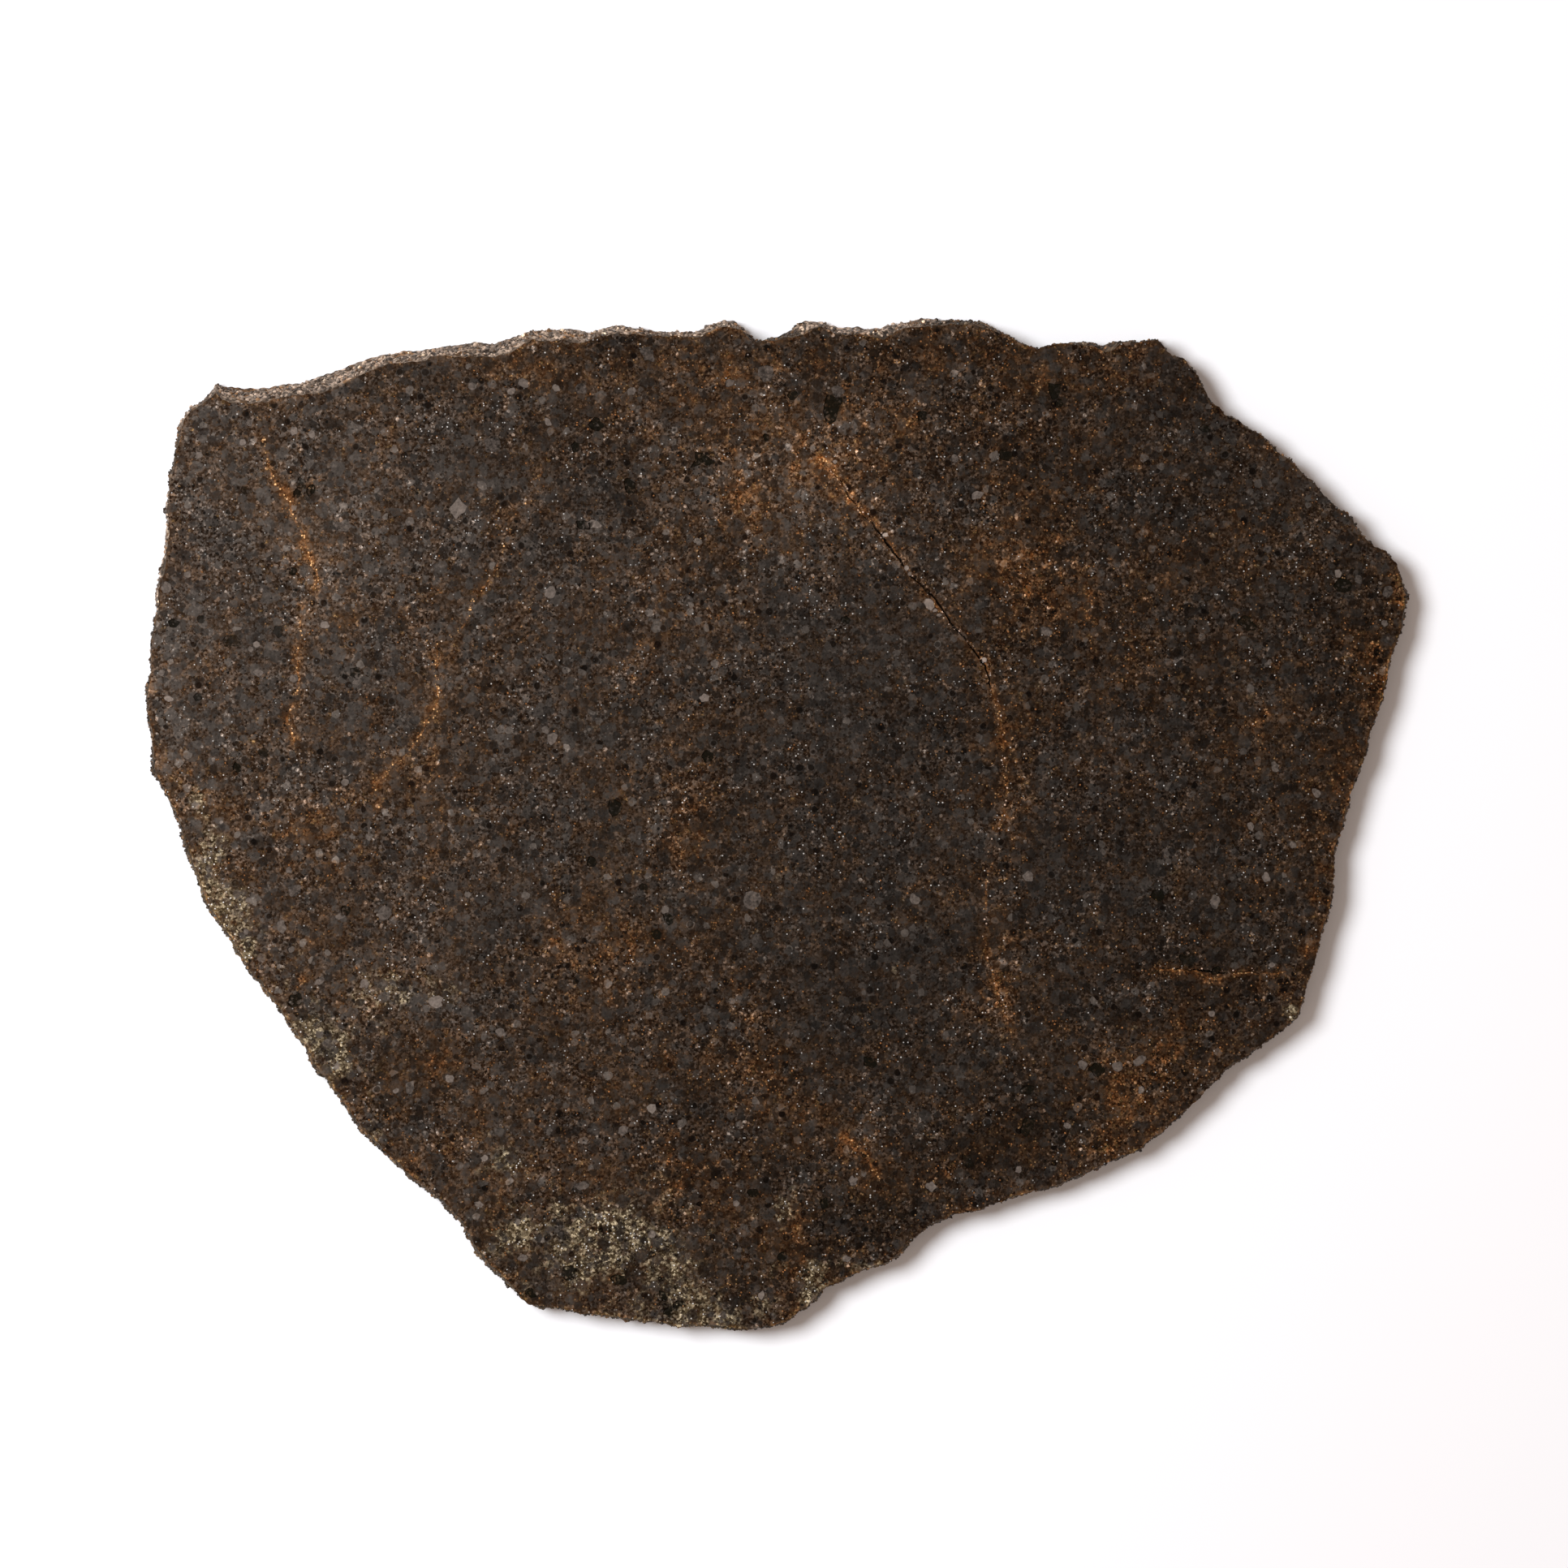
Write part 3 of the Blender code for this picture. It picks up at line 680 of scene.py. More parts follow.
def off_the_crystals(points):
    """Drops the points that would lie on a listed crystal."""
    keep = np.ones(len(points), dtype=bool)
    for x, y, across, _ in PALE_CRYSTALS + DARK_CRYSTALS:
        middle = on_stone(x, y)
        keep &= np.hypot(points[:, 0] - middle[0], points[:, 1] - middle[1]) > across * PIXEL * 0.6
    for _, corners in DRAWN_CRYSTALS:
        ring, middle = drawn_ring(corners, 0.03)
        reach = np.linalg.norm(ring - middle, axis=1).max()
        keep &= np.hypot(points[:, 0] - middle[0], points[:, 1] - middle[1]) > reach
    return points[keep]


features = np.vstack([crystal_points(), off_the_crystals(line_points())])
print("points with a place of their own", len(features))

# %% Scatter the rest evenly and drop what crowds or lies outside
FACE_SEED = 11
FACE_SPACING = 0.55
FACE_CLEARANCE = 0.24
BACK_SPACING = 1.3
BACK_CLEARANCE = 0.3
FEATURE_SPACING = 0.035
RIM_CLEARANCE = 0.08


def inside_of(points, outline):
    """Which points lie inside a closed outline, by counting the crossings of a level ray."""
    inside = np.zeros(len(points), dtype=bool)
    ahead = np.roll(outline, -1, axis=0)
    for (x0, y0), (x1, y1) in zip(outline, ahead):
        if y0 == y1:
            continue
        crosses = (points[:, 1] > min(y0, y1)) & (points[:, 1] <= max(y0, y1))
        where = x0 + (points[:, 1] - y0) * (x1 - x0) / (y1 - y0)
        inside ^= crosses & (points[:, 0] < where)
    return inside


def scatter(outline, spacing, generator_seed):
    """Points in offset rows, each shaken a little, inside an outline."""
    generator = np.random.default_rng(generator_seed)
    low = outline.min(0)
    high = outline.max(0)
    rows = []
    for number, y in enumerate(np.arange(low[1], high[1], spacing * 0.866)):
        x = np.arange(low[0] + (number % 2) * spacing / 2.0, high[0], spacing)
        rows.append(np.column_stack([x, np.full(len(x), y)]))
    points = np.vstack(rows)
    points += generator.uniform(-0.3, 0.3, points.shape) * spacing
    return points[inside_of(points, outline)]


def clear_of(points, taken, gap):
    """Keeps the points that are farther than gap from every taken place."""
    tree = kdtree.KDTree(len(taken))
    for number, place in enumerate(taken):
        tree.insert((place[0], place[1], 0.0), number)
    tree.balance()
    keep = [tree.find((x, y, 0.0))[2] > gap for x, y in points[:, :2]]
    return points[np.array(keep)]


def thinned(rows, gap):
    """Drops every row whose place is closer than gap to an earlier one."""
    cells = {}
    kept = []
    steps = [(x, y) for x in (-1, 0, 1) for y in (-1, 0, 1)]
    for row in rows:
        cell = (int(math.floor(row[0] / gap)), int(math.floor(row[1] / gap)))
        near = [other for x, y in steps for other in cells.get((cell[0] + x, cell[1] + y), ())]
        if all((row[0] - other[0]) ** 2 + (row[1] - other[1]) ** 2 >= gap * gap for other in near):
            cells.setdefault(cell, []).append(row)
            kept.append(row)
    return np.array(kept)


front_outline = wall[-1][:, :2]
back_outline = wall[0][:, :2]
features = thinned(features[inside_of(features[:, :2], front_outline)], FEATURE_SPACING)
features = clear_of(features, front_outline, RIM_CLEARANCE)
face_fill = off_the_crystals(scatter(front_outline, FACE_SPACING, FACE_SEED))
face_fill = clear_of(face_fill, np.vstack([features[:, :2], front_outline]), FACE_CLEARANCE)
back_fill = scatter(back_outline, BACK_SPACING, FACE_SEED + 1)
back_fill = clear_of(back_fill, back_outline, BACK_CLEARANCE)
print("face points", len(features), "+", len(face_fill), "back points", len(back_fill))

# %% [markdown]
# ## Knit the faces
# A Delaunay triangulation joins scattered points into well-shaped triangles. It is given the rim as
# a closed polygon, so it fills exactly the inside and keeps every rim corner, and the wall can be
# sewn to it with no gap.

# %% Fill an outline with triangles
def filled(outline, inner):
    """Triangles over an outline and the points inside it, as numbers into both lists joined."""
    everything = [Vector(place) for place in np.vstack([outline, inner])]
    border = list(range(len(outline)))
    corners, _, faces, sources, _, _ = geometry.delaunay_2d_cdt(everything, [], [border], 1, 1e-6)
    number_of = [source[0] if source else -1 for source in sources]
    triangles = [[number_of[corner] for corner in face] for face in faces]
    lost = sum(1 for number in number_of if number < 0)
    print("triangles", len(triangles), "corners added", lost, "corners", len(corners))
    return [triangle for triangle in triangles if min(triangle) >= 0]


front_inner = np.vstack([features[:, :2], face_fill])
front_triangles = filled(front_outline, front_inner)
back_triangles = filled(back_outline, back_fill)

# %% [markdown]
# ## One closed body
# The wall, the front and the back become one mesh. The front face is dipped at the pits and
# grooves, and in the torn zones every point sinks by a random few hundredths of a millimetre.
# Keeping it one closed body means that light, shadow and weight all see a solid stone.

# %% Map the zones and the veins onto any places
SINKING_SEED = 5
DEEPEST_SINKING = 0.09
def zone_value(places, zones):
    """Sum of soft ovals at places given in mm."""
    total = np.zeros(len(places))
    for x, y, half_width, half_height, strength in zones:
        middle_x, middle_y = on_stone(x, y)
        across = (places[:, 0] - middle_x) / (half_width * PIXEL)
        up = (places[:, 1] - middle_y) / (half_height * PIXEL)
        total += strength * np.exp(-(across ** 2 + up ** 2))
    return total


def nearest_of(places, lines, farthest):
    """Distance in mm to the nearest line of places, and that line's strength there."""
    tree = kdtree.KDTree(sum(map(len, lines)))
    strengths = []
    for line in lines:
        for x, y, strength in line:
            tree.insert((x, y, 0.0), len(strengths))
            strengths.append(strength)
    tree.balance()
    found = [tree.find((x, y, 0.0)) for x, y in places[:, :2]]
    gaps = np.array([min(distance, farthest) for _, _, distance in found])
    return gaps, np.array([strengths[number] for _, number, _ in found])


torn_on_face = np.clip(zone_value(front_inner, TORN_ZONES), 0.0, 1.0)
shares = np.random.default_rng(SINKING_SEED).uniform(0.0, 1.0, len(front_inner)) ** 2
sinking = shares * DEEPEST_SINKING * torn_on_face
depth = np.concatenate([features[:, 2], np.zeros(len(face_fill))]) + sinking
print("deepest place of the face in mm", round(float(depth.max()), 3))

# %% Join wall, front and back into one mesh
deep = thickness * 1000.0
rows, columns = wall.shape[:2]
front_points = np.column_stack([front_inner, deep - depth])
back_points = np.column_stack([back_fill, np.zeros(len(back_fill))])
points = np.vstack([wall_places, front_points, back_points])
first_front = rows * columns
first_back = first_front + len(front_points)

quads = []
for row in range(rows - 1):
    here = row * columns + np.arange(columns)
    beside = row * columns + (np.arange(columns) + 1) % columns
    quads.append(np.column_stack([here, beside, beside + columns, here + columns]))
quads = np.vstack(quads)
turned = (np.arange(len(quads)) % 2).astype(bool)
wall_triangles = np.vstack([
    quads[~turned][:, [0, 1, 2]], quads[~turned][:, [0, 2, 3]],
    quads[turned][:, [0, 1, 3]], quads[turned][:, [1, 2, 3]],
])


def renumbered(triangles, border_start, inner_start, upward):
    """Triangles of a face, with numbers into the whole body and the wanted side up."""
    numbers = np.array(triangles)
    numbers = np.where(numbers < columns, numbers + border_start, numbers - columns + inner_start)
    a, b, c = (points[numbers[:, corner]][:, :2] for corner in range(3))
    area = (b[:, 0] - a[:, 0]) * (c[:, 1] - a[:, 1]) - (c[:, 0] - a[:, 0]) * (b[:, 1] - a[:, 1])
    flip = (area < 0) if upward else (area > 0)
    numbers[flip] = numbers[flip][:, ::-1]
    return numbers


front_numbers = renumbered(front_triangles, (rows - 1) * columns, first_front, True)
back_numbers = renumbered(back_triangles, 0, first_back, False)
triangles = np.vstack([front_numbers, back_numbers, wall_triangles])
finish_of = np.zeros(len(triangles), dtype=np.int32)
finish_of[-len(wall_triangles):] = 1

stone_mesh = bpy.data.meshes.new("sawn_stone")
stone_mesh.from_pydata((points / 1000.0).tolist(), [], triangles.tolist())
stone_mesh.polygons.foreach_set("material_index", finish_of)
stone = bpy.data.objects.new("sawn_stone", stone_mesh)
bpy.context.scene.collection.objects.link(stone)
print("points", len(points), "triangles", len(triangles))

# %% [markdown]
# ## What the finishes need to know
# A finish can read numbers that are stored at the corners of a mesh. Here every corner learns how
# rusty, cool, torn or light its zone is, how far away the nearest vein and crack are, and whether
# it belongs to one of the listed crystals. Its lightness includes a lift towards the lamp's side,
# partly painted sheen and lamp fall-off, partly the stone's own tone. The finish turns these smooth
# numbers into ragged, speckled colour, so the map can stay coarse.

# %% Store the zones, veins and crystals at the corners
# Partly painted light: how strongly the sawn face is lifted towards the left and top, the lamp's side.
LAMP_SIDE_LIFT = 0.72
LAMP_SIDE_START = -46.0
LAMP_SIDE_REACH = 32.0
LAMP_SIDE_RIGHT = -0.0030
LAMP_SIDE_UP = 0.0012
FARTHEST_LINE = 4.0
FARTHEST_RIM = 3.0


def stored(mesh, name, values):
    """Stores one number per corner of a mesh."""
    layer = mesh.attributes.new(name, "FLOAT", "POINT")
    layer.data.foreach_set("value", np.asarray(values, dtype=np.float32))


flat_places = points[:, :2]
vein_gap, vein_strength = nearest_of(flat_places, vein_places, FARTHEST_LINE)
crack_gap, crack_strength = nearest_of(flat_places, crack_places, FARTHEST_LINE)
# Partly painted light: lighter towards the left and top, for the lamp's nearness and its sheen there;
# the rest is the stone's own tone.
lamp_side_lift = LAMP_SIDE_LIFT * np.exp((LAMP_SIDE_START - flat_places[:, 0]) / LAMP_SIDE_REACH)
lamp_side_lift += LAMP_SIDE_RIGHT * flat_places[:, 0] + LAMP_SIDE_UP * flat_places[:, 1]
rim_tree = kdtree.KDTree(columns)
for number, (x, y) in enumerate(front_outline):
    rim_tree.insert((x, y, 0.0), number)
rim_tree.balance()
rim_gap = np.array([min(rim_tree.find((x, y, 0.0))[2], FARTHEST_RIM) for x, y in flat_places])
crystal_tone = np.zeros(len(points))
crystal_tone[first_front:first_front + len(features)] = features[:, 3]
corner_maps = {
    "rust": zone_value(flat_places, RUST_ZONES + WARM_ZONES),
    "painted_lit": zone_value(flat_places, PAINTED_LIT_ZONES),
    "cool": zone_value(flat_places, COOL_ZONES),
    "torn": zone_value(flat_places, TORN_ZONES),
    "tone": zone_value(flat_places, TONE_ZONES) + lamp_side_lift,
    "vein_gap": vein_gap,
    "vein_strength": vein_strength,
    "crack_gap": crack_gap,
    "crack_strength": crack_strength,
    "rim_gap": rim_gap,
    "crystal_tone": crystal_tone,
}
for name, values in corner_maps.items():
    stored(stone_mesh, name, values)
print("tone drifts from", round(float(lamp_side_lift.max()), 2), "to", round(float(lamp_side_lift.min()), 2))

# %% [markdown]
# ## A flat plan for baked colour
# Baking the stone's colours into a square picture needs a plan of where each part of the surface
# goes. The front face gets most of the square, the back face a smaller map above it, and the wall
# is cut into ten strips beside that.

# %% Lay out the plan
PLAN_START = 0.005
PLAN_END = 0.995
PLAN_GAP = 0.012
FRONT_WIDTH = 0.84
STRIPS = 10
STRIP_FILL = 0.8


def bake_plan():
    """Places in the unit square for every corner of every triangle of the stone."""
    low = points[:, :2].min(0)
    span = points[:, :2].max(0) - low
    scale = FRONT_WIDTH / span[0]
    plan = np.zeros((len(triangles), 3, 2))
    front = len(front_numbers)
    back = front + len(back_numbers)
    plan[:front] = PLAN_START + (points[front_numbers][:, :, :2] - low) * scale
    top = PLAN_START + span[1] * scale + PLAN_GAP
    back_scale = (PLAN_END - top) / span[1]
    mirrored = low[0] + span[0] - points[back_numbers][:, :, 0]
    plan[front:back, :, 0] = PLAN_START + mirrored * back_scale
    plan[front:back, :, 1] = top + (points[back_numbers][:, :, 1] - low[1]) * back_scale
    strip_left = PLAN_START + span[0] * back_scale + PLAN_GAP
    per_strip = columns // STRIPS
    pitch = (PLAN_END - top) / STRIPS
    column = wall_triangles % columns
    row = wall_triangles // columns
    first = column.min(axis=1)
    wraps = column.max(axis=1) - first > columns // 2
    column = np.where(wraps[:, None] & (column == 0), columns, column)
    first = np.where(wraps, columns - 1, first)
    strip = first // per_strip
    along = (column - strip[:, None] * per_strip) / per_strip
    plan[back:, :, 0] = strip_left + along * (PLAN_END - strip_left)
    plan[back:, :, 1] = top + pitch * strip[:, None] + row / (rows - 1) * pitch * STRIP_FILL
    return plan.reshape(-1, 2)


plan = bake_plan()
plan_layer = stone_mesh.uv_layers.new(name="OFBake")
plan_layer.data.foreach_set("uv", plan.ravel().astype(np.float32))
print("plan from", plan.min(0), "to", plan.max(0))

# %% [markdown]
# ## Writing finishes as sums
# A finish in Blender is a web of nodes. Web for web that is hard to read, so a few small classes let
# the finish be written as ordinary sums. A Wire is one output of a node, and adding or multiplying
# wires makes the Math nodes. A Web holds a tree, and its node method makes any other node. A Finish
# is the web of a material.

# %% Wires and webs
class Wire:
    """One output of a node, which can be used in sums."""

    def __init__(self, web, socket):
        self.web = web
        self.socket = socket

    def sum_node(self, operation, first, second=0.0):
        return self.web.node("ShaderNodeMath", {"operation": operation}, {0: first, 1: second})["Value"]

    def __add__(self, other):
        return self.sum_node("ADD", self, other)

    def __radd__(self, other):
        return self.sum_node("ADD", other, self)

    def __sub__(self, other):
        return self.sum_node("SUBTRACT", self, other)

    def __rsub__(self, other):
        return self.sum_node("SUBTRACT", other, self)

    def __mul__(self, other):
        return self.sum_node("MULTIPLY", self, other)

    def __rmul__(self, other):
        return self.sum_node("MULTIPLY", other, self)

    def __neg__(self):
        return self.sum_node("MULTIPLY", self, -1.0)

    def exponential(self):
        return self.sum_node("EXPONENT", self)

    def least(self, other):
        return self.sum_node("MINIMUM", self, other)

    def most(self, other):
        return self.sum_node("MAXIMUM", self, other)

    def between(self, low, high):
        """0 below low, 1 above high, with a soft step between. It falls where low is above high."""
        settings = {"interpolation_type": "SMOOTHSTEP"}
        values = {"Value": self, "From Min": min(low, high), "From Max": max(low, high)}
        risen = self.web.node("ShaderNodeMapRange", settings, values)["Result"]
        return 1.0 - risen if low > high else risen


class Web:
    """A tree of nodes, with one method that makes any of them."""

    def __init__(self, tree):
        self.tree = tree

    def node(self, kind, settings=None, values=None):
        """Makes a node, sets it up, fills its sockets and returns its outputs by name."""
        made = self.tree.nodes.new(kind)
        for key, value in (settings or {}).items():
            setattr(made, key, value)
        for key, value in (values or {}).items():
            socket = self.open_socket(made.inputs, key)
            if isinstance(value, Wire):
                self.tree.links.new(value.socket, socket)
            else:
                socket.default_value = value
        return {output.name: Wire(self, output) for output in made.outputs if output.enabled}

    @staticmethod
    def open_socket(sockets, key):
        """A socket by its number, or by its name among those that the settings leave in use."""
        if isinstance(key, int):
            return sockets[key]
        return [socket for socket in sockets if socket.enabled and socket.name == key][0]


print("a wire knows", [name for name in vars(Wire) if not name.startswith("__")])

# %% The web of a finish
Cells = namedtuple("Cells", "far tone pick hue")


class Finish(Web):
    """A material and the nodes in it. All sizes are in millimetres."""

    def __init__(self, name):
        self.material = bpy.data.materials.new(name)
        self.material.use_nodes = True
        super().__init__(self.material.node_tree)
        self.tree.nodes.clear()
        self.coordinates = self.node("ShaderNodeTexCoord")["Object"]

    def stored(self, name):
        """A number stored at the corners of the mesh."""
        return self.node("ShaderNodeAttribute", {"attribute_name": name})["Fac"]

    def mix(self, share, first, second):
        """A colour between two colours."""
        settings = {"data_type": "RGBA", "blend_type": "MIX", "clamp_factor": True}
        return self.node("ShaderNodeMix", settings, {"Factor": share, "A": first, "B": second})["Result"]

    def scaled(self, colour, amount):
        """A colour made lighter or darker by a number."""
        values = {"Vector": colour, "Scale": amount}
        return self.node("ShaderNodeVectorMath", {"operation": "SCALE"}, values)["Vector"]

    def over(self, share, ground, paint, tone):
        """A ground with a share of paint over it, where the paint's tone is a logarithm."""
        return self.mix(share, ground, self.scaled(paint, tone.exponential()))

    def shifted(self, vector, other):
        return self.node("ShaderNodeVectorMath", {"operation": "ADD"}, {0: vector, 1: other})["Vector"]

    def cells(self, places, size):
        """Voronoi cells: how far from a cell's middle, in cell widths, and three random numbers."""
        settings = {"voronoi_dimensions": "3D", "feature": "F1"}
        made = self.node("ShaderNodeTexVoronoi", settings, {"Vector": places, "Scale": 1000.0 / size})
        parts = self.node("ShaderNodeSeparateColor", {}, {"Color": made["Color"]})
        return Cells(made["Distance"], parts["Red"], parts["Green"], parts["Blue"])

    def noise(self, places, size, detail, roughness=0.5):
        """The outputs of one noise node with lumps of a size."""
        values = {"Vector": places, "Scale": 1000.0 / size, "Detail": detail, "Roughness": roughness}
        return self.node("ShaderNodeTexNoise", {"noise_dimensions": "3D"}, values)

    def clouds(self, places, size, detail, roughness=0.5):
        """Three different soft noises around 0.5 from one node."""
        colour = self.noise(places, size, detail, roughness)["Color"]
        parts = self.node("ShaderNodeSeparateColor", {}, {"Color": colour})
        return parts["Red"], parts["Green"], parts["Blue"]

    def bumped(self, height, strength, distance):
        """A normal that makes a height, from 0 to 1, show as relief."""
        values = {"Strength": strength, "Distance": distance / 1000.0, "Height": height}
        return self.node("ShaderNodeBump", {}, values)["Normal"]

    def closed(self, values):
        """Ends the web in one shader and gives back the material."""
        shader = self.node("ShaderNodeBsdfPrincipled", {}, values)["BSDF"]
        self.node("ShaderNodeOutputMaterial", {}, {"Surface": shader})
        return self.material


print("a finish knows", [name for name in vars(Finish) if not name.startswith("__")])

# %% [markdown]
# ## The sawn face
# Up close the sawn face is a mush of grains. Grey crystals with soft corners, from a quarter of a
# millimetre to over a millimetre, lie in a finer brown and black groundmass. The dark parts are the
# brownest and the light ones nearly grey. Rust sits between the crystals as brown clouds with a few
# glowing orange specks, and here and there a painted glint stands for light flashing off a cut
# crystal. The finish keeps two numbers apart and joins them last: a tone, which is the logarithm of
# brightness, because stains on stone multiply, and a warmth, which leads from grey over brown to
# rust.

# %% The colours of the sawn face
GREY = (1.185, 0.971, 0.800)
BROWN = (1.63, 0.876, 0.430)
RUST = (2.15, 0.740, 0.180)
STONE_LEVEL = math.log(0.0157)
EMBER = (0.170, 0.072, 0.026)
GOLD = (0.226, 0.131, 0.058)
FILM = (0.200, 0.078, 0.022)
OLIVE_GOLD = (0.098, 0.064, 0.026)
OLIVE_PALE = (0.150, 0.124, 0.080)
AMBER = (0.082, 0.048, 0.018)
# Painted highlight: the pale glints of light along the open crack.
CRACK_GLINT = (0.300, 0.215, 0.165)
PALE = (0.190, 0.154, 0.128)
# Painted highlight: the colour of glints, flashes of light off cut crystals.
PAINTED_GLINT = (0.620, 0.600, 0.560)
# Painted shade: the black of the open crack's gap and of tiny pits.
PAINTED_SHADE_BLACK = (0.0030, 0.0021, 0.0014)
BLACK_GREEN = (0.0042, 0.0034, 0.0015)


def colour(values):
    return (*values, 1.0)


print("plain stone gives back", round(math.exp(STONE_LEVEL), 4))

# %% [markdown]
# The patterns are nested like the grains of the stone: clouds a few millimetres wide, then three
# sizes of crystals, then specks. Each pattern is made once and read by many sums, so a speck that
# is light can also be golden. Cells with a soft, frayed border look like cut grains, which plain
# noise never does.

# %% The maps and the patterns of grains
SAWN_MAPS = [
    "rust", "cool", "torn", "tone", "rim_gap", "vein_gap", "vein_strength", "crack_gap",
    "crack_strength", "crystal_tone",
]


def grain_patterns(finish):
    """Noises and cells, from broad clouds of 4.5 mm down to specks of 0.17 mm."""
    spot = finish.coordinates
    bend = finish.noise(spot, 0.9, 1.0)["Color"]
    bent = finish.shifted(spot, finish.scaled(bend, 0.00022))
    grain = SimpleNamespace()
    grain.broad_tone, grain.broad_warm, lively = finish.clouds(spot, 4.5, 3.0)
    grain.lively = lively.between(0.36, 0.62)
    grain.patch_tone, grain.patch_warm, grain.patch_torn = finish.clouds(bent, 1.7, 3.0, 0.6)
    grain.medium = finish.noise(spot, 0.8, 2.0)["Fac"]
    grain.fine, grain.fine_amber, grain.fine_dark = finish.clouds(spot, 0.42, 3.0, 0.75)
    grain.large = finish.cells(bent, 1.15)
    grain.middle = finish.cells(bent, 0.66)
    grain.small = finish.cells(bent, 0.32)
    grain.speck = finish.cells(spot, 0.17)
    return grain


def find_crystals(grain):
    """Picks the cells that are crystals, and frays their sides. The mush is what lies between."""
    large, middle, small = grain.large, grain.middle, grain.small
    uneven = 0.8 * (grain.fine - 0.5)
    grain.large_crystal = (large.far + uneven).between(0.50, 0.42) * large.pick.between(0.70, 0.73)
    grain.middle_crystal = (middle.far + uneven).between(0.57, 0.47) * middle.pick.between(0.40, 0.44)
    grain.crystal = grain.large_crystal.most(grain.middle_crystal)
    grain.mush = 1.0 - 0.70 * grain.crystal
    grain.small_grain = (small.far + 0.5 * uneven).between(0.56, 0.44) * small.pick.between(0.36, 0.40)
    grain.dot = (grain.speck.far + 0.3 * (grain.fine - 0.5)).between(0.50, 0.32)


print("maps for the sawn face", len(SAWN_MAPS))

# %% How light and how warm each grain is
def tone_of(zone, grain):
    """The tone of the ground: 0 is plain stone. Crystals first, then specks, then broad clouds."""
    middle, small, speck = grain.middle, grain.small, grain.speck
    tone = (1.1 * (middle.tone - 0.5) + 0.7 * middle.tone.between(0.90, 1.0)) * grain.middle_crystal
    tone = tone + 1.0 * (grain.large.tone - 0.5) * grain.large_crystal
    speckle = 1.5 * (small.tone - 0.42) * grain.small_grain + 1.7 * (speck.tone - 0.54)
    speckle = speckle + 2.0 * (grain.fine - 0.5)
    speckle = speckle - 1.3 * grain.fine_dark.between(0.57, 0.66) + 0.12
    tone = tone + speckle * grain.mush * (0.75 + 0.5 * grain.lively)
    tone = tone + 0.7 * small.tone.between(0.92, 1.0) * grain.small_grain
    tone = tone - 1.3 * middle.far.between(0.44, 0.36) * middle.pick.between(0.925, 0.94)
    tone = tone + 0.45 * (grain.broad_tone - 0.5) + 1.7 * (grain.patch_tone - 0.5)
    return (tone + 0.30 * tone.least(0.0)) * (0.95 + 0.38 * zone.rust - 0.10 * zone.cool)


def warmth_of(zone, grain, tone, vein, rim):
    """The warmth of the ground: grey at 0, brown at 1, rust at 2."""
    warmth = 0.50 + 0.85 * zone.rust - 0.16 * zone.cool + 0.8 * vein + 0.35 * rim
    warmth = warmth + 1.3 * (grain.broad_warm - 0.5)
    warmth = warmth + (1.2 + 1.5 * zone.rust) * (grain.patch_warm - 0.5)
    warmth = warmth + (0.9 + 1.2 * zone.rust) * (grain.medium - 0.5)
    warmth = warmth + 0.35 * (grain.small.hue - 0.5)
    warmth = warmth + 0.30 * (grain.speck.hue - 0.5) - 0.40 * grain.crystal
    return warmth - 0.22 * tone - 0.30 * tone.least(0.0)


print("grey to brown to rust", GREY, BROWN, RUST)

# %% [markdown]
# Rust fills the gaps between grains, so it is laid on the mush and not on the crystals. Where the
# saw tore the stone open, pale olive borders run round darker grains. A net like that comes from
# the places far from the middles of the cells, crossed by thin strands of noise.

# %% Rust between the grains, and the torn patches
def with_rust(finish, ground, zone, grain, warmth, fringe):
    """Soft amber between the grains, and small embers where the stone is warm."""
    warm = 0.06 * (warmth - 0.8)
    amber = grain.fine_amber + warm + 0.3 * (grain.medium - 0.5) + 0.12 * fringe
    amber = amber.between(0.62, 0.75) * grain.mush
    amber_tone = 2.2 * (grain.speck.tone - 0.5) + 1.1 * zone.tone + 0.7 * fringe - 0.08
    ground = finish.over(amber * 0.70, ground, AMBER, amber_tone)
    ember = grain.speck.hue + 0.10 * (warmth - 0.6) + 0.25 * (grain.medium - 0.5)
    ember = grain.dot * ember.between(0.985, 1.04)
    paint = finish.mix(grain.small.pick.between(0.35, 0.65), colour(EMBER), finish.scaled(GOLD, 0.75))
    return finish.over(ember * 0.8, ground, paint, 1.8 * (grain.small.tone - 0.5))


def with_torn_net(finish, ground, grain, torn):
    """Pale olive borders round the grains where the saw tore the stone open."""
    speck, fine = grain.speck, grain.fine_amber
    strand = 1.0 - (fine - 0.5).most(0.5 - fine).between(0.015, 0.06)
    lace = (grain.middle.far + 0.9 * (grain.fine_dark - 0.5)).between(0.36, 0.56)
    net = torn * (lace * (0.55 + 0.45 * strand) + 0.30 * strand).least(1.0)
    net = net * (1.0 - 0.85 * grain.large_crystal)
    olive = finish.mix(speck.tone, colour(OLIVE_GOLD), colour(OLIVE_PALE))
    olive_tone = 2.6 * (speck.tone - 0.5) + 1.6 * (grain.fine - 0.5) + 0.25 * strand
    return finish.over(net * 0.85, ground, olive, olive_tone)


print("amber", AMBER, "olive", OLIVE_GOLD, "to", OLIVE_PALE)

# %% [markdown]
# A vein is not a painted line. It is a thin film of rust that breaks off and starts again, with
# tiny golden beads beside it, and a crack is a hairline of painted black shade, with painted
# glints of light along it. Both read how far the nearest line is, and noise opens and closes them
# along the way.

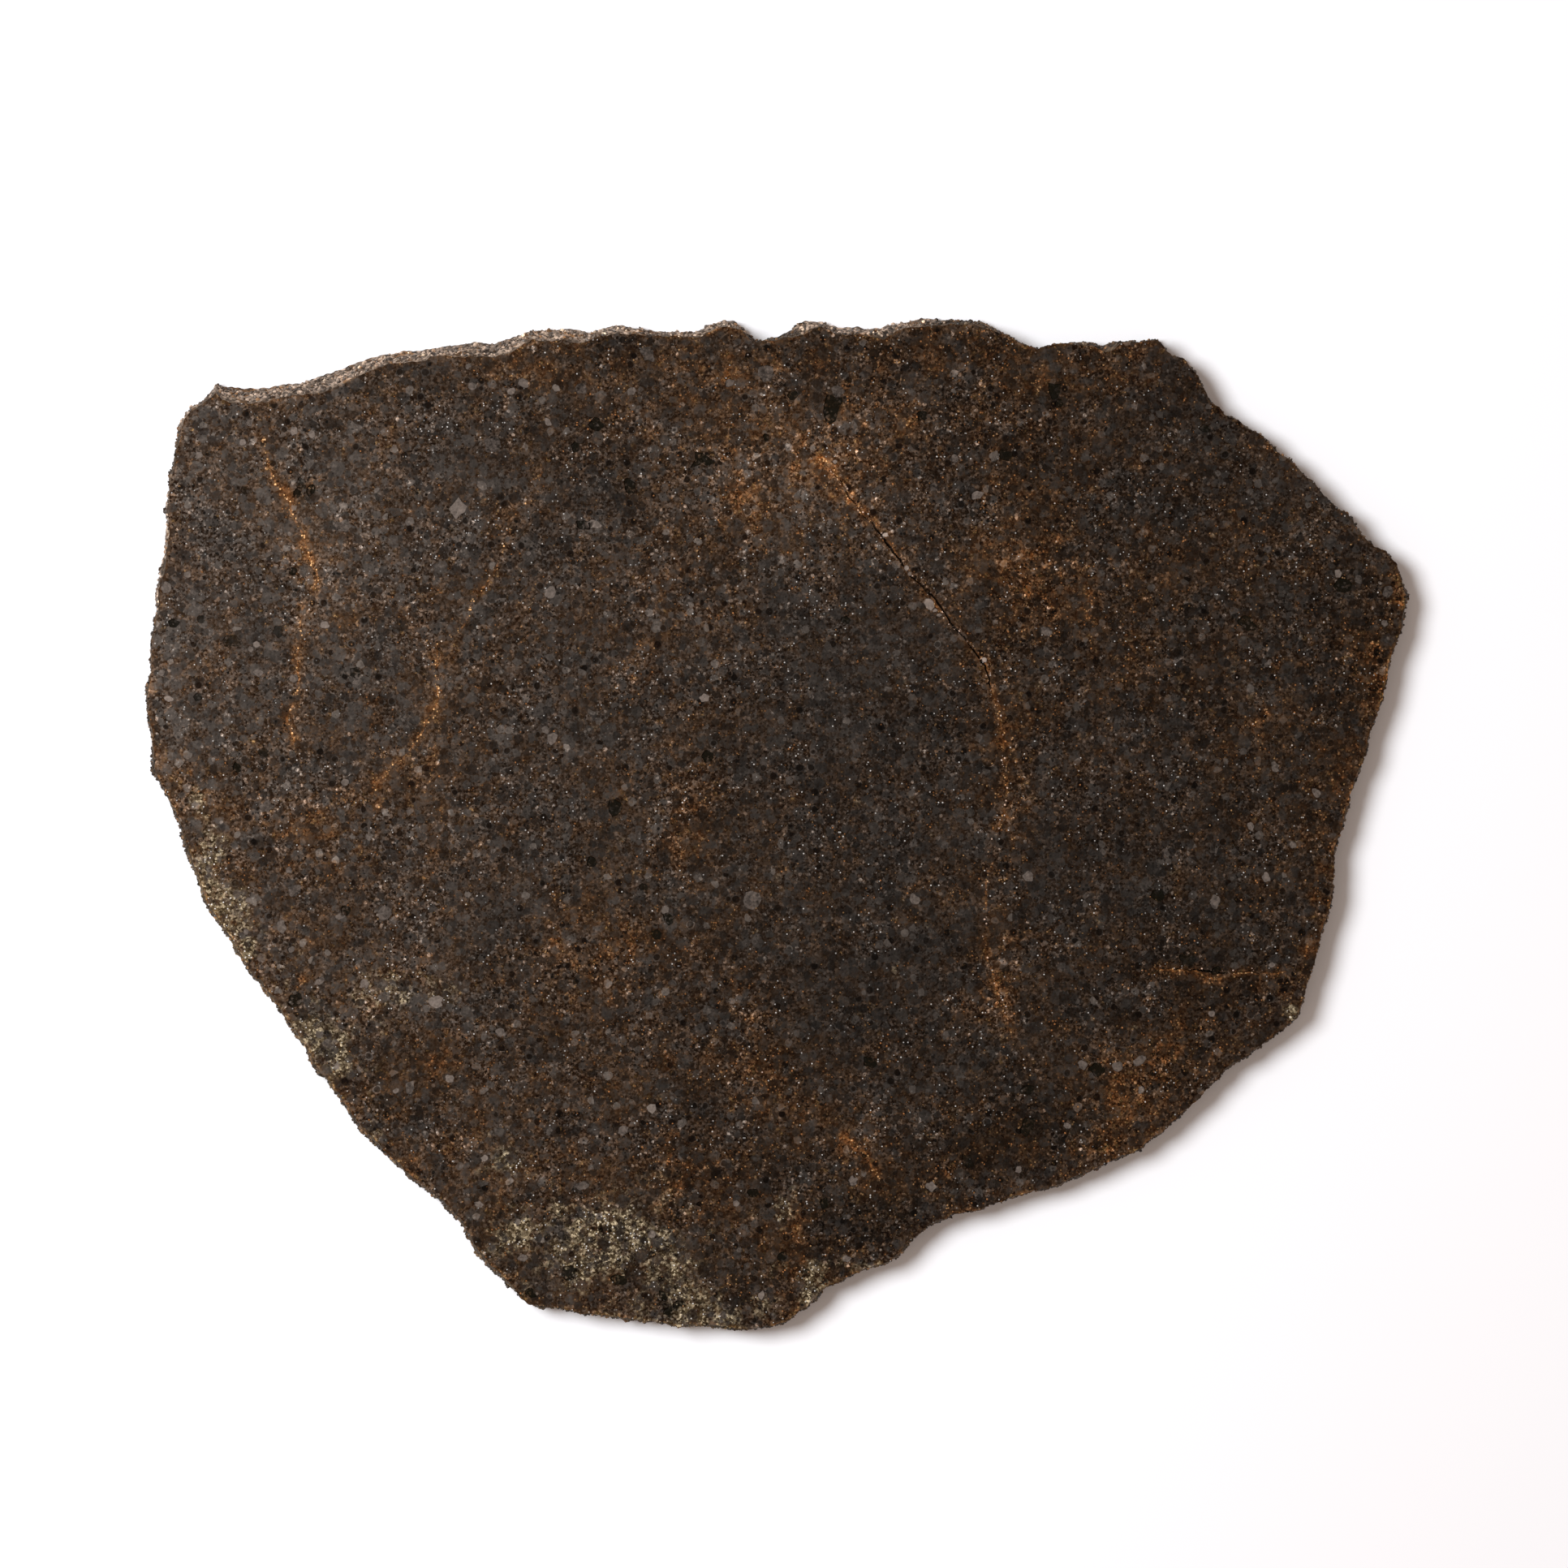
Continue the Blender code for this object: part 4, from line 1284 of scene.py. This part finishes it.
# %% Veins and cracks
def with_veins(finish, ground, zone, grain):
    """A thin film of rust that breaks off and on, with golden beads beside it."""
    speck, uneven = grain.speck, 0.30 * (grain.fine - 0.5)
    broken = zone.vein_strength + 2.2 * (grain.medium - 0.5) + 1.2 * (grain.patch_torn - 0.5)
    film = (zone.vein_gap + uneven).between(0.11, 0.02) * broken.between(0.35, 1.0)
    film_tone = 1.8 * (speck.tone - 0.5) + 0.25 * zone.tone - 0.18
    ground = finish.over(film * 0.52, ground, FILM, film_tone)
    bead_and_glint = (speck.pick + 0.45 * (broken - 0.7)).between(0.58, 0.76)
    bead_and_glint = (zone.vein_gap + uneven).between(0.20, 0.09) * bead_and_glint
    bead_tone = 2.2 * (speck.hue - 0.5) + 0.75 * zone.tone - 0.05
    return finish.over(grain.dot * bead_and_glint * 0.9, ground, GOLD, bead_tone)


def with_cracks(finish, ground, zone, grain):
    """A hairline of painted black shade, the dark of the open gap, that closes here and there, with
    painted glints of light along it.
    """
    speck = grain.speck
    # Painted highlight: pale glints of light along the crack.
    bead_and_glint = (zone.crack_gap + 0.3 * (grain.fine - 0.5)).between(0.28, 0.14)
    bead_and_glint = bead_and_glint * (speck.pick + 0.30 * zone.crack_strength).between(0.98, 1.06)
    ground = finish.over(grain.dot * bead_and_glint, ground, CRACK_GLINT, 1.6 * (speck.hue - 0.5))
    # Painted shade: the open crack is painted black for the shade in its gap.
    crack = (zone.crack_gap + 0.30 * (grain.fine_dark - 0.5)).between(0.110, 0.055)
    crack = crack * (zone.crack_strength + 1.3 * (grain.medium - 0.5)).between(0.50, 0.85)
    return finish.mix(crack * 0.92, ground, colour(PAINTED_SHADE_BLACK))


print("film", FILM, "beads", GOLD, CRACK_GLINT)

# %% [markdown]
# Last come the listed crystals, and the smallest things on the face: painted glints, highlights
# of light where a cut crystal flashes, and tiny pits painted black for the shade inside them.

# %% Placed crystals, painted glints and pits painted with shade
def with_placed_crystals(finish, ground, grain, pale, dark, listed):
    """The pale and the dark crystals that are listed."""
    speck = grain.speck.tone
    light = listed * 1.1 + 0.25 * (grain.small.tone - 0.5) + 0.25 * (speck - 0.5)
    light = light + 0.7 * (grain.fine - 0.5)
    ground = finish.mix(pale * 0.85, ground, finish.scaled(PALE, light.most(0.05)))
    return finish.mix(dark * (0.92 - 0.45 * speck.between(0.70, 0.95)), ground, colour(BLACK_GREEN))


def painted_glint_and_light(zone, grain, torn, plain):
    """Where a painted glint, a highlight of light on a cut crystal, goes, and how bright it is."""
    small, speck = grain.small, grain.speck
    shown = (speck.pick + 0.033 * grain.lively + 0.06 * torn + 0.012 * zone.cool).between(0.990, 1.008)
    painted_glint = speck.far.between(0.44, 0.24) * shown * plain
    return painted_glint, (0.20 + 0.85 * small.hue + 0.5 * torn) * (1.0 + 1.2 * zone.tone.least(0.0))


def pit_shade_of(grain, plain):
    """Tiny pits of two sizes, painted black for the shade inside them."""
    small, speck = grain.small, grain.speck
    pit_shade = small.far.between(0.48, 0.34) * small.pick.between(0.065, 0.045)
    pit_shade = pit_shade.most(speck.far.between(0.52, 0.40) * speck.pick.between(0.055, 0.040))
    return pit_shade * plain * (0.5 + 0.5 * grain.lively)


print("placed crystals", len(PALE_CRYSTALS) + len(DARK_CRYSTALS) + len(DRAWN_CRYSTALS))

# %% Put the finish of the sawn face together
def sawn_finish():
    """The ground by tone and warmth, then everything that lies in it, from broad to small."""
    finish = Finish("sawn_face")
    zone = SimpleNamespace(**{name: finish.stored(name) for name in SAWN_MAPS})
    grain = grain_patterns(finish)
    find_crystals(grain)
    vein = zone.vein_gap.between(0.9, 0.1) * zone.vein_strength
    rim = (zone.rim_gap + 0.5 * (grain.fine - 0.5)).between(0.42, 0.05)
    fringe = rim * (zone.rust + zone.torn)
    torn = zone.torn + 1.0 * (grain.medium - 0.5) + 1.5 * (grain.patch_torn - 0.5)
    torn = (torn + 0.5 * rim * zone.torn).between(0.24, 1.0)
    tone = tone_of(zone, grain)
    warmth = warmth_of(zone, grain, tone, vein, rim)

    ground = finish.mix(warmth, colour(GREY), colour(BROWN))
    ground = finish.mix(warmth - 1.0, ground, colour(RUST))
    glow = 0.35 * (warmth - 0.9).between(0.0, 0.9) + 0.5 * rim * (zone.rust + zone.torn)
    brightness = (tone + zone.tone + glow + 0.2 * vein + STONE_LEVEL).exponential()
    ground = finish.scaled(ground, brightness)
    ground = with_rust(finish, ground, zone, grain, warmth, fringe)
    ground = with_torn_net(finish, ground, grain, torn)
    ground = with_veins(finish, ground, zone, grain)
    ground = with_cracks(finish, ground, zone, grain)

    pale = zone.crystal_tone.between(0.02, 0.20)
    dark = (-zone.crystal_tone).between(0.15, 0.70)
    plain = 1.0 - pale.most(dark)
    ground = with_placed_crystals(finish, ground, grain, pale, dark, zone.crystal_tone)
    # Painted highlight: bright glints of light on cut crystals are laid into the colour.
    painted_glint, light = painted_glint_and_light(zone, grain, torn, plain)
    ground = finish.mix(painted_glint * 0.85, ground, finish.scaled(PAINTED_GLINT, light))
    # Painted shade: tiny pits are painted black for the shade inside them; the face stays flat there.
    ground = finish.mix(pit_shade_of(grain, plain) * 0.9, ground, colour(PAINTED_SHADE_BLACK))
    return finish.closed({
        "Base Color": ground,
        "Roughness": 0.72 + 0.10 * torn - 0.15 * grain.crystal - 0.25 * painted_glint,
        "Specular IOR Level": 0.03,
        "Normal": finish.bumped(-grain.speck.far, 0.35, 0.05),
    })


stone_mesh.materials.append(sawn_finish())
print("nodes in the sawn face", len(stone_mesh.materials[0].node_tree.nodes))

# %% [markdown]
# ## The broken wall
# Where the stone broke, no saw has crushed or polished the crystals. Along the upper left the wall
# faces the lamp, and there it is painted a lit, pale beige, with brown stains and painted golden
# sparkles of light. Everywhere else it is a rust brown skin, hardly lighter than the face.

# %% The finish of the broken wall
# Painted light: the paler colour the wall is given where it faces the lamp; below it the plain brown
# skin.
WALL_PAINTED_LIT = (0.230, 0.172, 0.128)
WALL_SKIN = (0.052, 0.034, 0.019)
WALL_DARK = (0.020, 0.013, 0.008)
WALL_BROWN = (0.105, 0.055, 0.024)
# Painted highlight: golden sparkles of light on crystal faces of the wall.
WALL_GOLD_SPARKLE = (0.560, 0.430, 0.300)


def wall_colours(finish, painted_lit, torn, hue):
    """The base of a broken surface: brown skin, painted paler where lit by the lamp, brown in parts,
    olive where it is torn.
    """
    base = finish.mix(painted_lit, colour(WALL_SKIN), colour(WALL_PAINTED_LIT))
    base = finish.mix((torn * 1.2).least(0.8), base, colour(OLIVE_GOLD))
    return finish.mix(hue, base, colour(WALL_BROWN))


def broken_finish():
    finish = Finish("broken_wall")
    spot = finish.coordinates
    chunk = finish.cells(spot, 0.55)
    chip = finish.cells(spot, 0.24)
    patch = finish.noise(spot, 2.4, 3.0)["Fac"]
    tone = 1.3 * (chunk.tone - 0.5) + 1.4 * (chip.tone - 0.5) + 1.6 * (patch - 0.5)
    # Painted light: the wall is painted paler where it faces the lamp.
    painted_lit = finish.stored("painted_lit") + 0.8 * (patch - 0.5) + 0.3 * (chunk.hue - 0.5)
    painted_lit = painted_lit.between(0.30, 0.62)
    hue = (chunk.hue + 1.6 * (patch - 0.5)).between(0.60, 0.95)
    base = wall_colours(finish, painted_lit, finish.stored("torn"), hue)
    base = finish.scaled(base, tone.exponential())
    base = finish.mix(chip.pick.between(0.80, 0.86) * 0.8, base, colour(WALL_DARK))
    # Painted highlight: golden sparkles, more of them on the side that faces the lamp.
    gold_sparkle = chip.pick.between(0.09, 0.06) * chip.far.between(0.45, 0.3) * (0.4 + 0.6 * painted_lit)
    base = finish.mix(gold_sparkle * 0.7, base, colour(WALL_GOLD_SPARKLE))
    near_rim = (finish.stored("rim_gap") + 0.25 * (chip.hue - 0.5)).between(0.26, 0.05)
    base = finish.mix(near_rim * 0.6, base, colour(WALL_SKIN))
    return finish.closed({
        "Base Color": base,
        "Roughness": 0.75 - 0.35 * gold_sparkle,
        "Specular IOR Level": 0.20,
        "Normal": finish.bumped(chunk.tone + 0.7 * chip.tone, 0.5, 0.06),
    })


stone_mesh.materials.append(broken_finish())
print("nodes in the broken wall", len(stone_mesh.materials[1].node_tree.nodes))

# %% [markdown]
# ## Crystals on the broken wall
# Along the break single crystals stand proud of the wall, and make the rim look sugary against the
# pale ground. Thousands of small repeats that sit on a surface are what Geometry Nodes are for: the
# tree scatters points over the wall and puts one faceted grain on each, turned and sized at random.

# %% Make the wall's own patch of surface
lowest_corner = wall_triangles.min(axis=1)
highest_corner = wall_triangles.max(axis=1)
middle_rows = (lowest_corner >= 2 * columns) & (highest_corner < (rows - 2) * columns)
wall_patch_mesh = bpy.data.meshes.new("wall_patch")
patch_triangles = wall_triangles[middle_rows].tolist()
wall_patch_mesh.from_pydata((wall_places / 1000.0).tolist(), [], patch_triangles)
wall_patch = bpy.data.objects.new("wall_patch", wall_patch_mesh)
bpy.context.scene.collection.objects.link(wall_patch)
stored(wall_patch_mesh, "painted_lit", zone_value(points[:first_front, :2], PAINTED_LIT_ZONES))
stored(wall_patch_mesh, "torn", zone_value(points[:first_front, :2], TORN_ZONES))
print("wall patch triangles", len(patch_triangles))

# %% The finish of the loose crystals
def crystal_finish():
    finish = Finish("edge_crystal")
    shade = finish.stored("crystal_shade")
    hue = finish.stored("crystal_hue")
    # Painted light: crystals on the lamp's side get the paler lit colour.
    painted_lit = (finish.stored("painted_lit") + 0.3 * (shade - 0.5)).between(0.30, 0.62)
    base = wall_colours(finish, painted_lit, finish.stored("torn"), hue.between(0.55, 0.95))
    # Painted highlight: some crystals get a golden sparkle, most of them on the lamp's side.
    base = finish.mix(hue.between(0.10, 0.04) * (0.15 + 0.85 * painted_lit), base, colour(WALL_GOLD_SPARKLE))
    base = finish.scaled(base, (2.4 * (shade - 0.58)).exponential())
    grain = finish.noise(finish.coordinates, 0.12, 2.0)["Fac"]
    return finish.closed({
        "Base Color": finish.scaled(base, 0.7 + 0.6 * grain),
        "Roughness": 0.35 + 0.35 * shade,
        "Specular IOR Level": 0.35,
    })


crystal_material = crystal_finish()
print("nodes in the crystal finish", len(crystal_material.node_tree.nodes))

# %% Build the tree that sows the crystals
SOWING_INPUTS = {
    "Crystals per square metre": ("NodeSocketFloat", 6.0e6),
    "Smallest": ("NodeSocketFloat", 0.00016),
    "Largest": ("NodeSocketFloat", 0.00042),
    "Scatter": ("NodeSocketInt", 3),
}
FULL_TURN = 6.283
GRAIN_FACES = 20


class Sowing(Web):
    """A Geometry Nodes tree with named inputs."""

    def __init__(self, name):
        super().__init__(bpy.data.node_groups.new(name, "GeometryNodeTree"))
        self.named = {}
        for way in ("INPUT", "OUTPUT"):
            self.tree.interface.new_socket("Geometry", in_out=way, socket_type="NodeSocketGeometry")

    def named_input(self, name, kind, value):
        made = self.tree.interface.new_socket(name, in_out="INPUT", socket_type=kind)
        made.default_value = value
        self.named[name] = made.identifier

    def random(self, seed, low, high, kind="FLOAT"):
        """A random number or vector for each crystal."""
        values = {"Min": low, "Max": high, "Seed": seed}
        return self.node("FunctionNodeRandomValue", {"data_type": kind}, values)["Value"]

    def noted(self, geometry, name, value):
        """Stores a value on each crystal, for the finish to read."""
        settings = {"data_type": "FLOAT", "domain": "INSTANCE"}
        values = {"Geometry": geometry, "Name": name, "Value": value}
        return self.node("GeometryNodeStoreNamedAttribute", settings, values)["Geometry"]


def sowing_tree():
    """Scatters grains over a surface: how many, how small, how large and which scatter."""
    sowing = Sowing("sow_crystals")
    for name, (kind, value) in SOWING_INPUTS.items():
        sowing.named_input(name, kind, value)
    given = sowing.node("NodeGroupInput")
    sown = sowing.node("GeometryNodeDistributePointsOnFaces", {"distribute_method": "RANDOM"}, {
        "Mesh": given["Geometry"],
        "Density": given["Crystals per square metre"],
        "Seed": given["Scatter"],
    })
    grain = sowing.node("GeometryNodeMeshIcoSphere", {}, {"Radius": 0.5, "Subdivisions": 1})
    placed = sowing.node("GeometryNodeInstanceOnPoints", {}, {
        "Points": sown["Points"],
        "Instance": grain["Mesh"],
        "Rotation": sowing.random(21, (0.0, 0.0, 0.0), (FULL_TURN,) * 3, "FLOAT_VECTOR"),
        "Scale": sowing.random(22, given["Smallest"], given["Largest"], "FLOAT_VECTOR"),
    })
    shaded = sowing.noted(placed["Instances"], "crystal_shade", sowing.random(23, 0.0, 1.0))
    hued = sowing.noted(shaded, "crystal_hue", sowing.random(24, 0.0, 1.0))
    real = sowing.node("GeometryNodeRealizeInstances", {}, {"Geometry": hued})
    values = {"Geometry": real["Geometry"], "Material": crystal_material}
    painted = sowing.node("GeometryNodeSetMaterial", {}, values)
    sowing.node("NodeGroupOutput", {}, {"Geometry": painted["Geometry"]})
    return sowing


sowing = sowing_tree()
print("named inputs", sowing.named)

# %% Sow the crystals and keep them as a plain mesh
grower = wall_patch.modifiers.new("sow", "NODES")
grower.node_group = sowing.tree
for name, (kind, value) in SOWING_INPUTS.items():
    grower[sowing.named[name]] = value
grown = wall_patch.evaluated_get(bpy.context.evaluated_depsgraph_get())
crystal_mesh = bpy.data.meshes.new_from_object(grown)
crystal_mesh.name = "edge_crystals"
wall_patch.modifiers.remove(grower)
bpy.data.objects.remove(wall_patch, do_unlink=True)
crystals = bpy.data.objects.new("edge_crystals", crystal_mesh)
bpy.context.scene.collection.objects.link(crystals)
print("crystals", len(crystal_mesh.polygons) // GRAIN_FACES, "triangles", len(crystal_mesh.polygons))

# %% [markdown]
# ## Hand over to the frame
# The dressed stone and its crystals take the place of the measured body: they ride on the same
# body and hide its plain node.

# %% Tie the pieces to the body
for piece in (stone, crystals):
    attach(piece, "root")
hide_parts("meteorite_slice")
print("pieces", stone.name, crystals.name)

# %% [markdown]
# ## Ground, light and camera
# The slice lies on a white ground that the photograph shows blown out to pure white. One soft lamp
# stands to the upper left, high enough that the thin stone throws a narrow shadow to the right and
# below, and an even, dim sky keeps the shadow from turning black. The camera hangs straight above.

# %% The white ground
GROUND_HALF = 3.0
GROUND_LEVEL = -0.00003
GROUND_WHITE = (0.90, 0.90, 0.90)


def white_ground():
    mesh = bpy.data.meshes.new("ground")
    sides = ((-1, -1), (1, -1), (1, 1), (-1, 1))
    corners = [(x * GROUND_HALF, y * GROUND_HALF, GROUND_LEVEL) for x, y in sides]
    mesh.from_pydata(corners, [], [(0, 1, 2, 3)])
    ground = bpy.data.objects.new("ground", mesh)
    bpy.context.scene.collection.objects.link(ground)
    material = bpy.data.materials.new("white_ground")
    material.use_nodes = True
    shader = material.node_tree.nodes["Principled BSDF"]
    shader.inputs["Base Color"].default_value = colour(GROUND_WHITE)
    shader.inputs["Roughness"].default_value = 0.9
    shader.inputs["Specular IOR Level"].default_value = 0.1
    mesh.materials.append(material)
    return ground


white_ground()
print("ground laid")

# %% The soft lamp and the sky
LAMP_DISTANCE = 0.60
LAMP_HEIGHT_ANGLE = math.radians(56.0)
LAMP_TURN = math.radians(159.0)
LAMP_WIDTH = 0.285
LAMP_POWER = 4.25
LAMP_COLOUR = (0.90, 0.94, 1.0)
SKY_COLOUR = (0.415, 0.340, 0.302)


def soft_lamp():
    data = bpy.data.lights.new("soft_lamp", "AREA")
    data.shape = "DISK"
    data.size = LAMP_WIDTH
    data.energy = LAMP_POWER
    data.color = LAMP_COLOUR
    lamp = bpy.data.objects.new("soft_lamp", data)
    level = math.cos(LAMP_HEIGHT_ANGLE)
    height = math.sin(LAMP_HEIGHT_ANGLE)
    direction = Vector((math.cos(LAMP_TURN) * level, math.sin(LAMP_TURN) * level, height))
    lamp.location = direction * LAMP_DISTANCE
    lamp.rotation_euler = direction.to_track_quat("Z", "Y").to_euler()
    lamp.visible_camera = False
    bpy.context.scene.collection.objects.link(lamp)
    return lamp


def pale_sky():
    world = bpy.data.worlds.new("pale_sky")
    world.use_nodes = True
    background = world.node_tree.nodes["Background"]
    background.inputs["Color"].default_value = colour(SKY_COLOUR)
    background.inputs["Strength"].default_value = 1.0
    bpy.context.scene.world = world


soft_lamp()
pale_sky()
bpy.context.scene.view_settings.view_transform = "Standard"

# %% The camera
CAMERA_HEIGHT = 0.6
SENSOR_WIDTH = 36.0
FRAME_PIXELS = 1932


def camera_above():
    data = bpy.data.cameras.new("camera")
    data.sensor_width = SENSOR_WIDTH
    data.sensor_fit = "HORIZONTAL"
    frame_width = FRAME_PIXELS * PIXEL / 1000.0
    data.lens = SENSOR_WIDTH * (CAMERA_HEIGHT - thickness) / frame_width
    data.clip_start = 0.01
    data.clip_end = 20.0
    camera = bpy.data.objects.new("camera", data)
    centre = on_stone(FRAME_PIXELS / 2.0, FRAME_PIXELS / 2.0)
    camera.location = (centre[0] / 1000.0, centre[1] / 1000.0, CAMERA_HEIGHT)
    camera.rotation_euler = (0.0, 0.0, 0.0)
    bpy.context.scene.collection.objects.link(camera)
    bpy.context.scene.camera = camera
    return camera


print("lens", round(camera_above().data.lens, 1))

# %% [markdown]
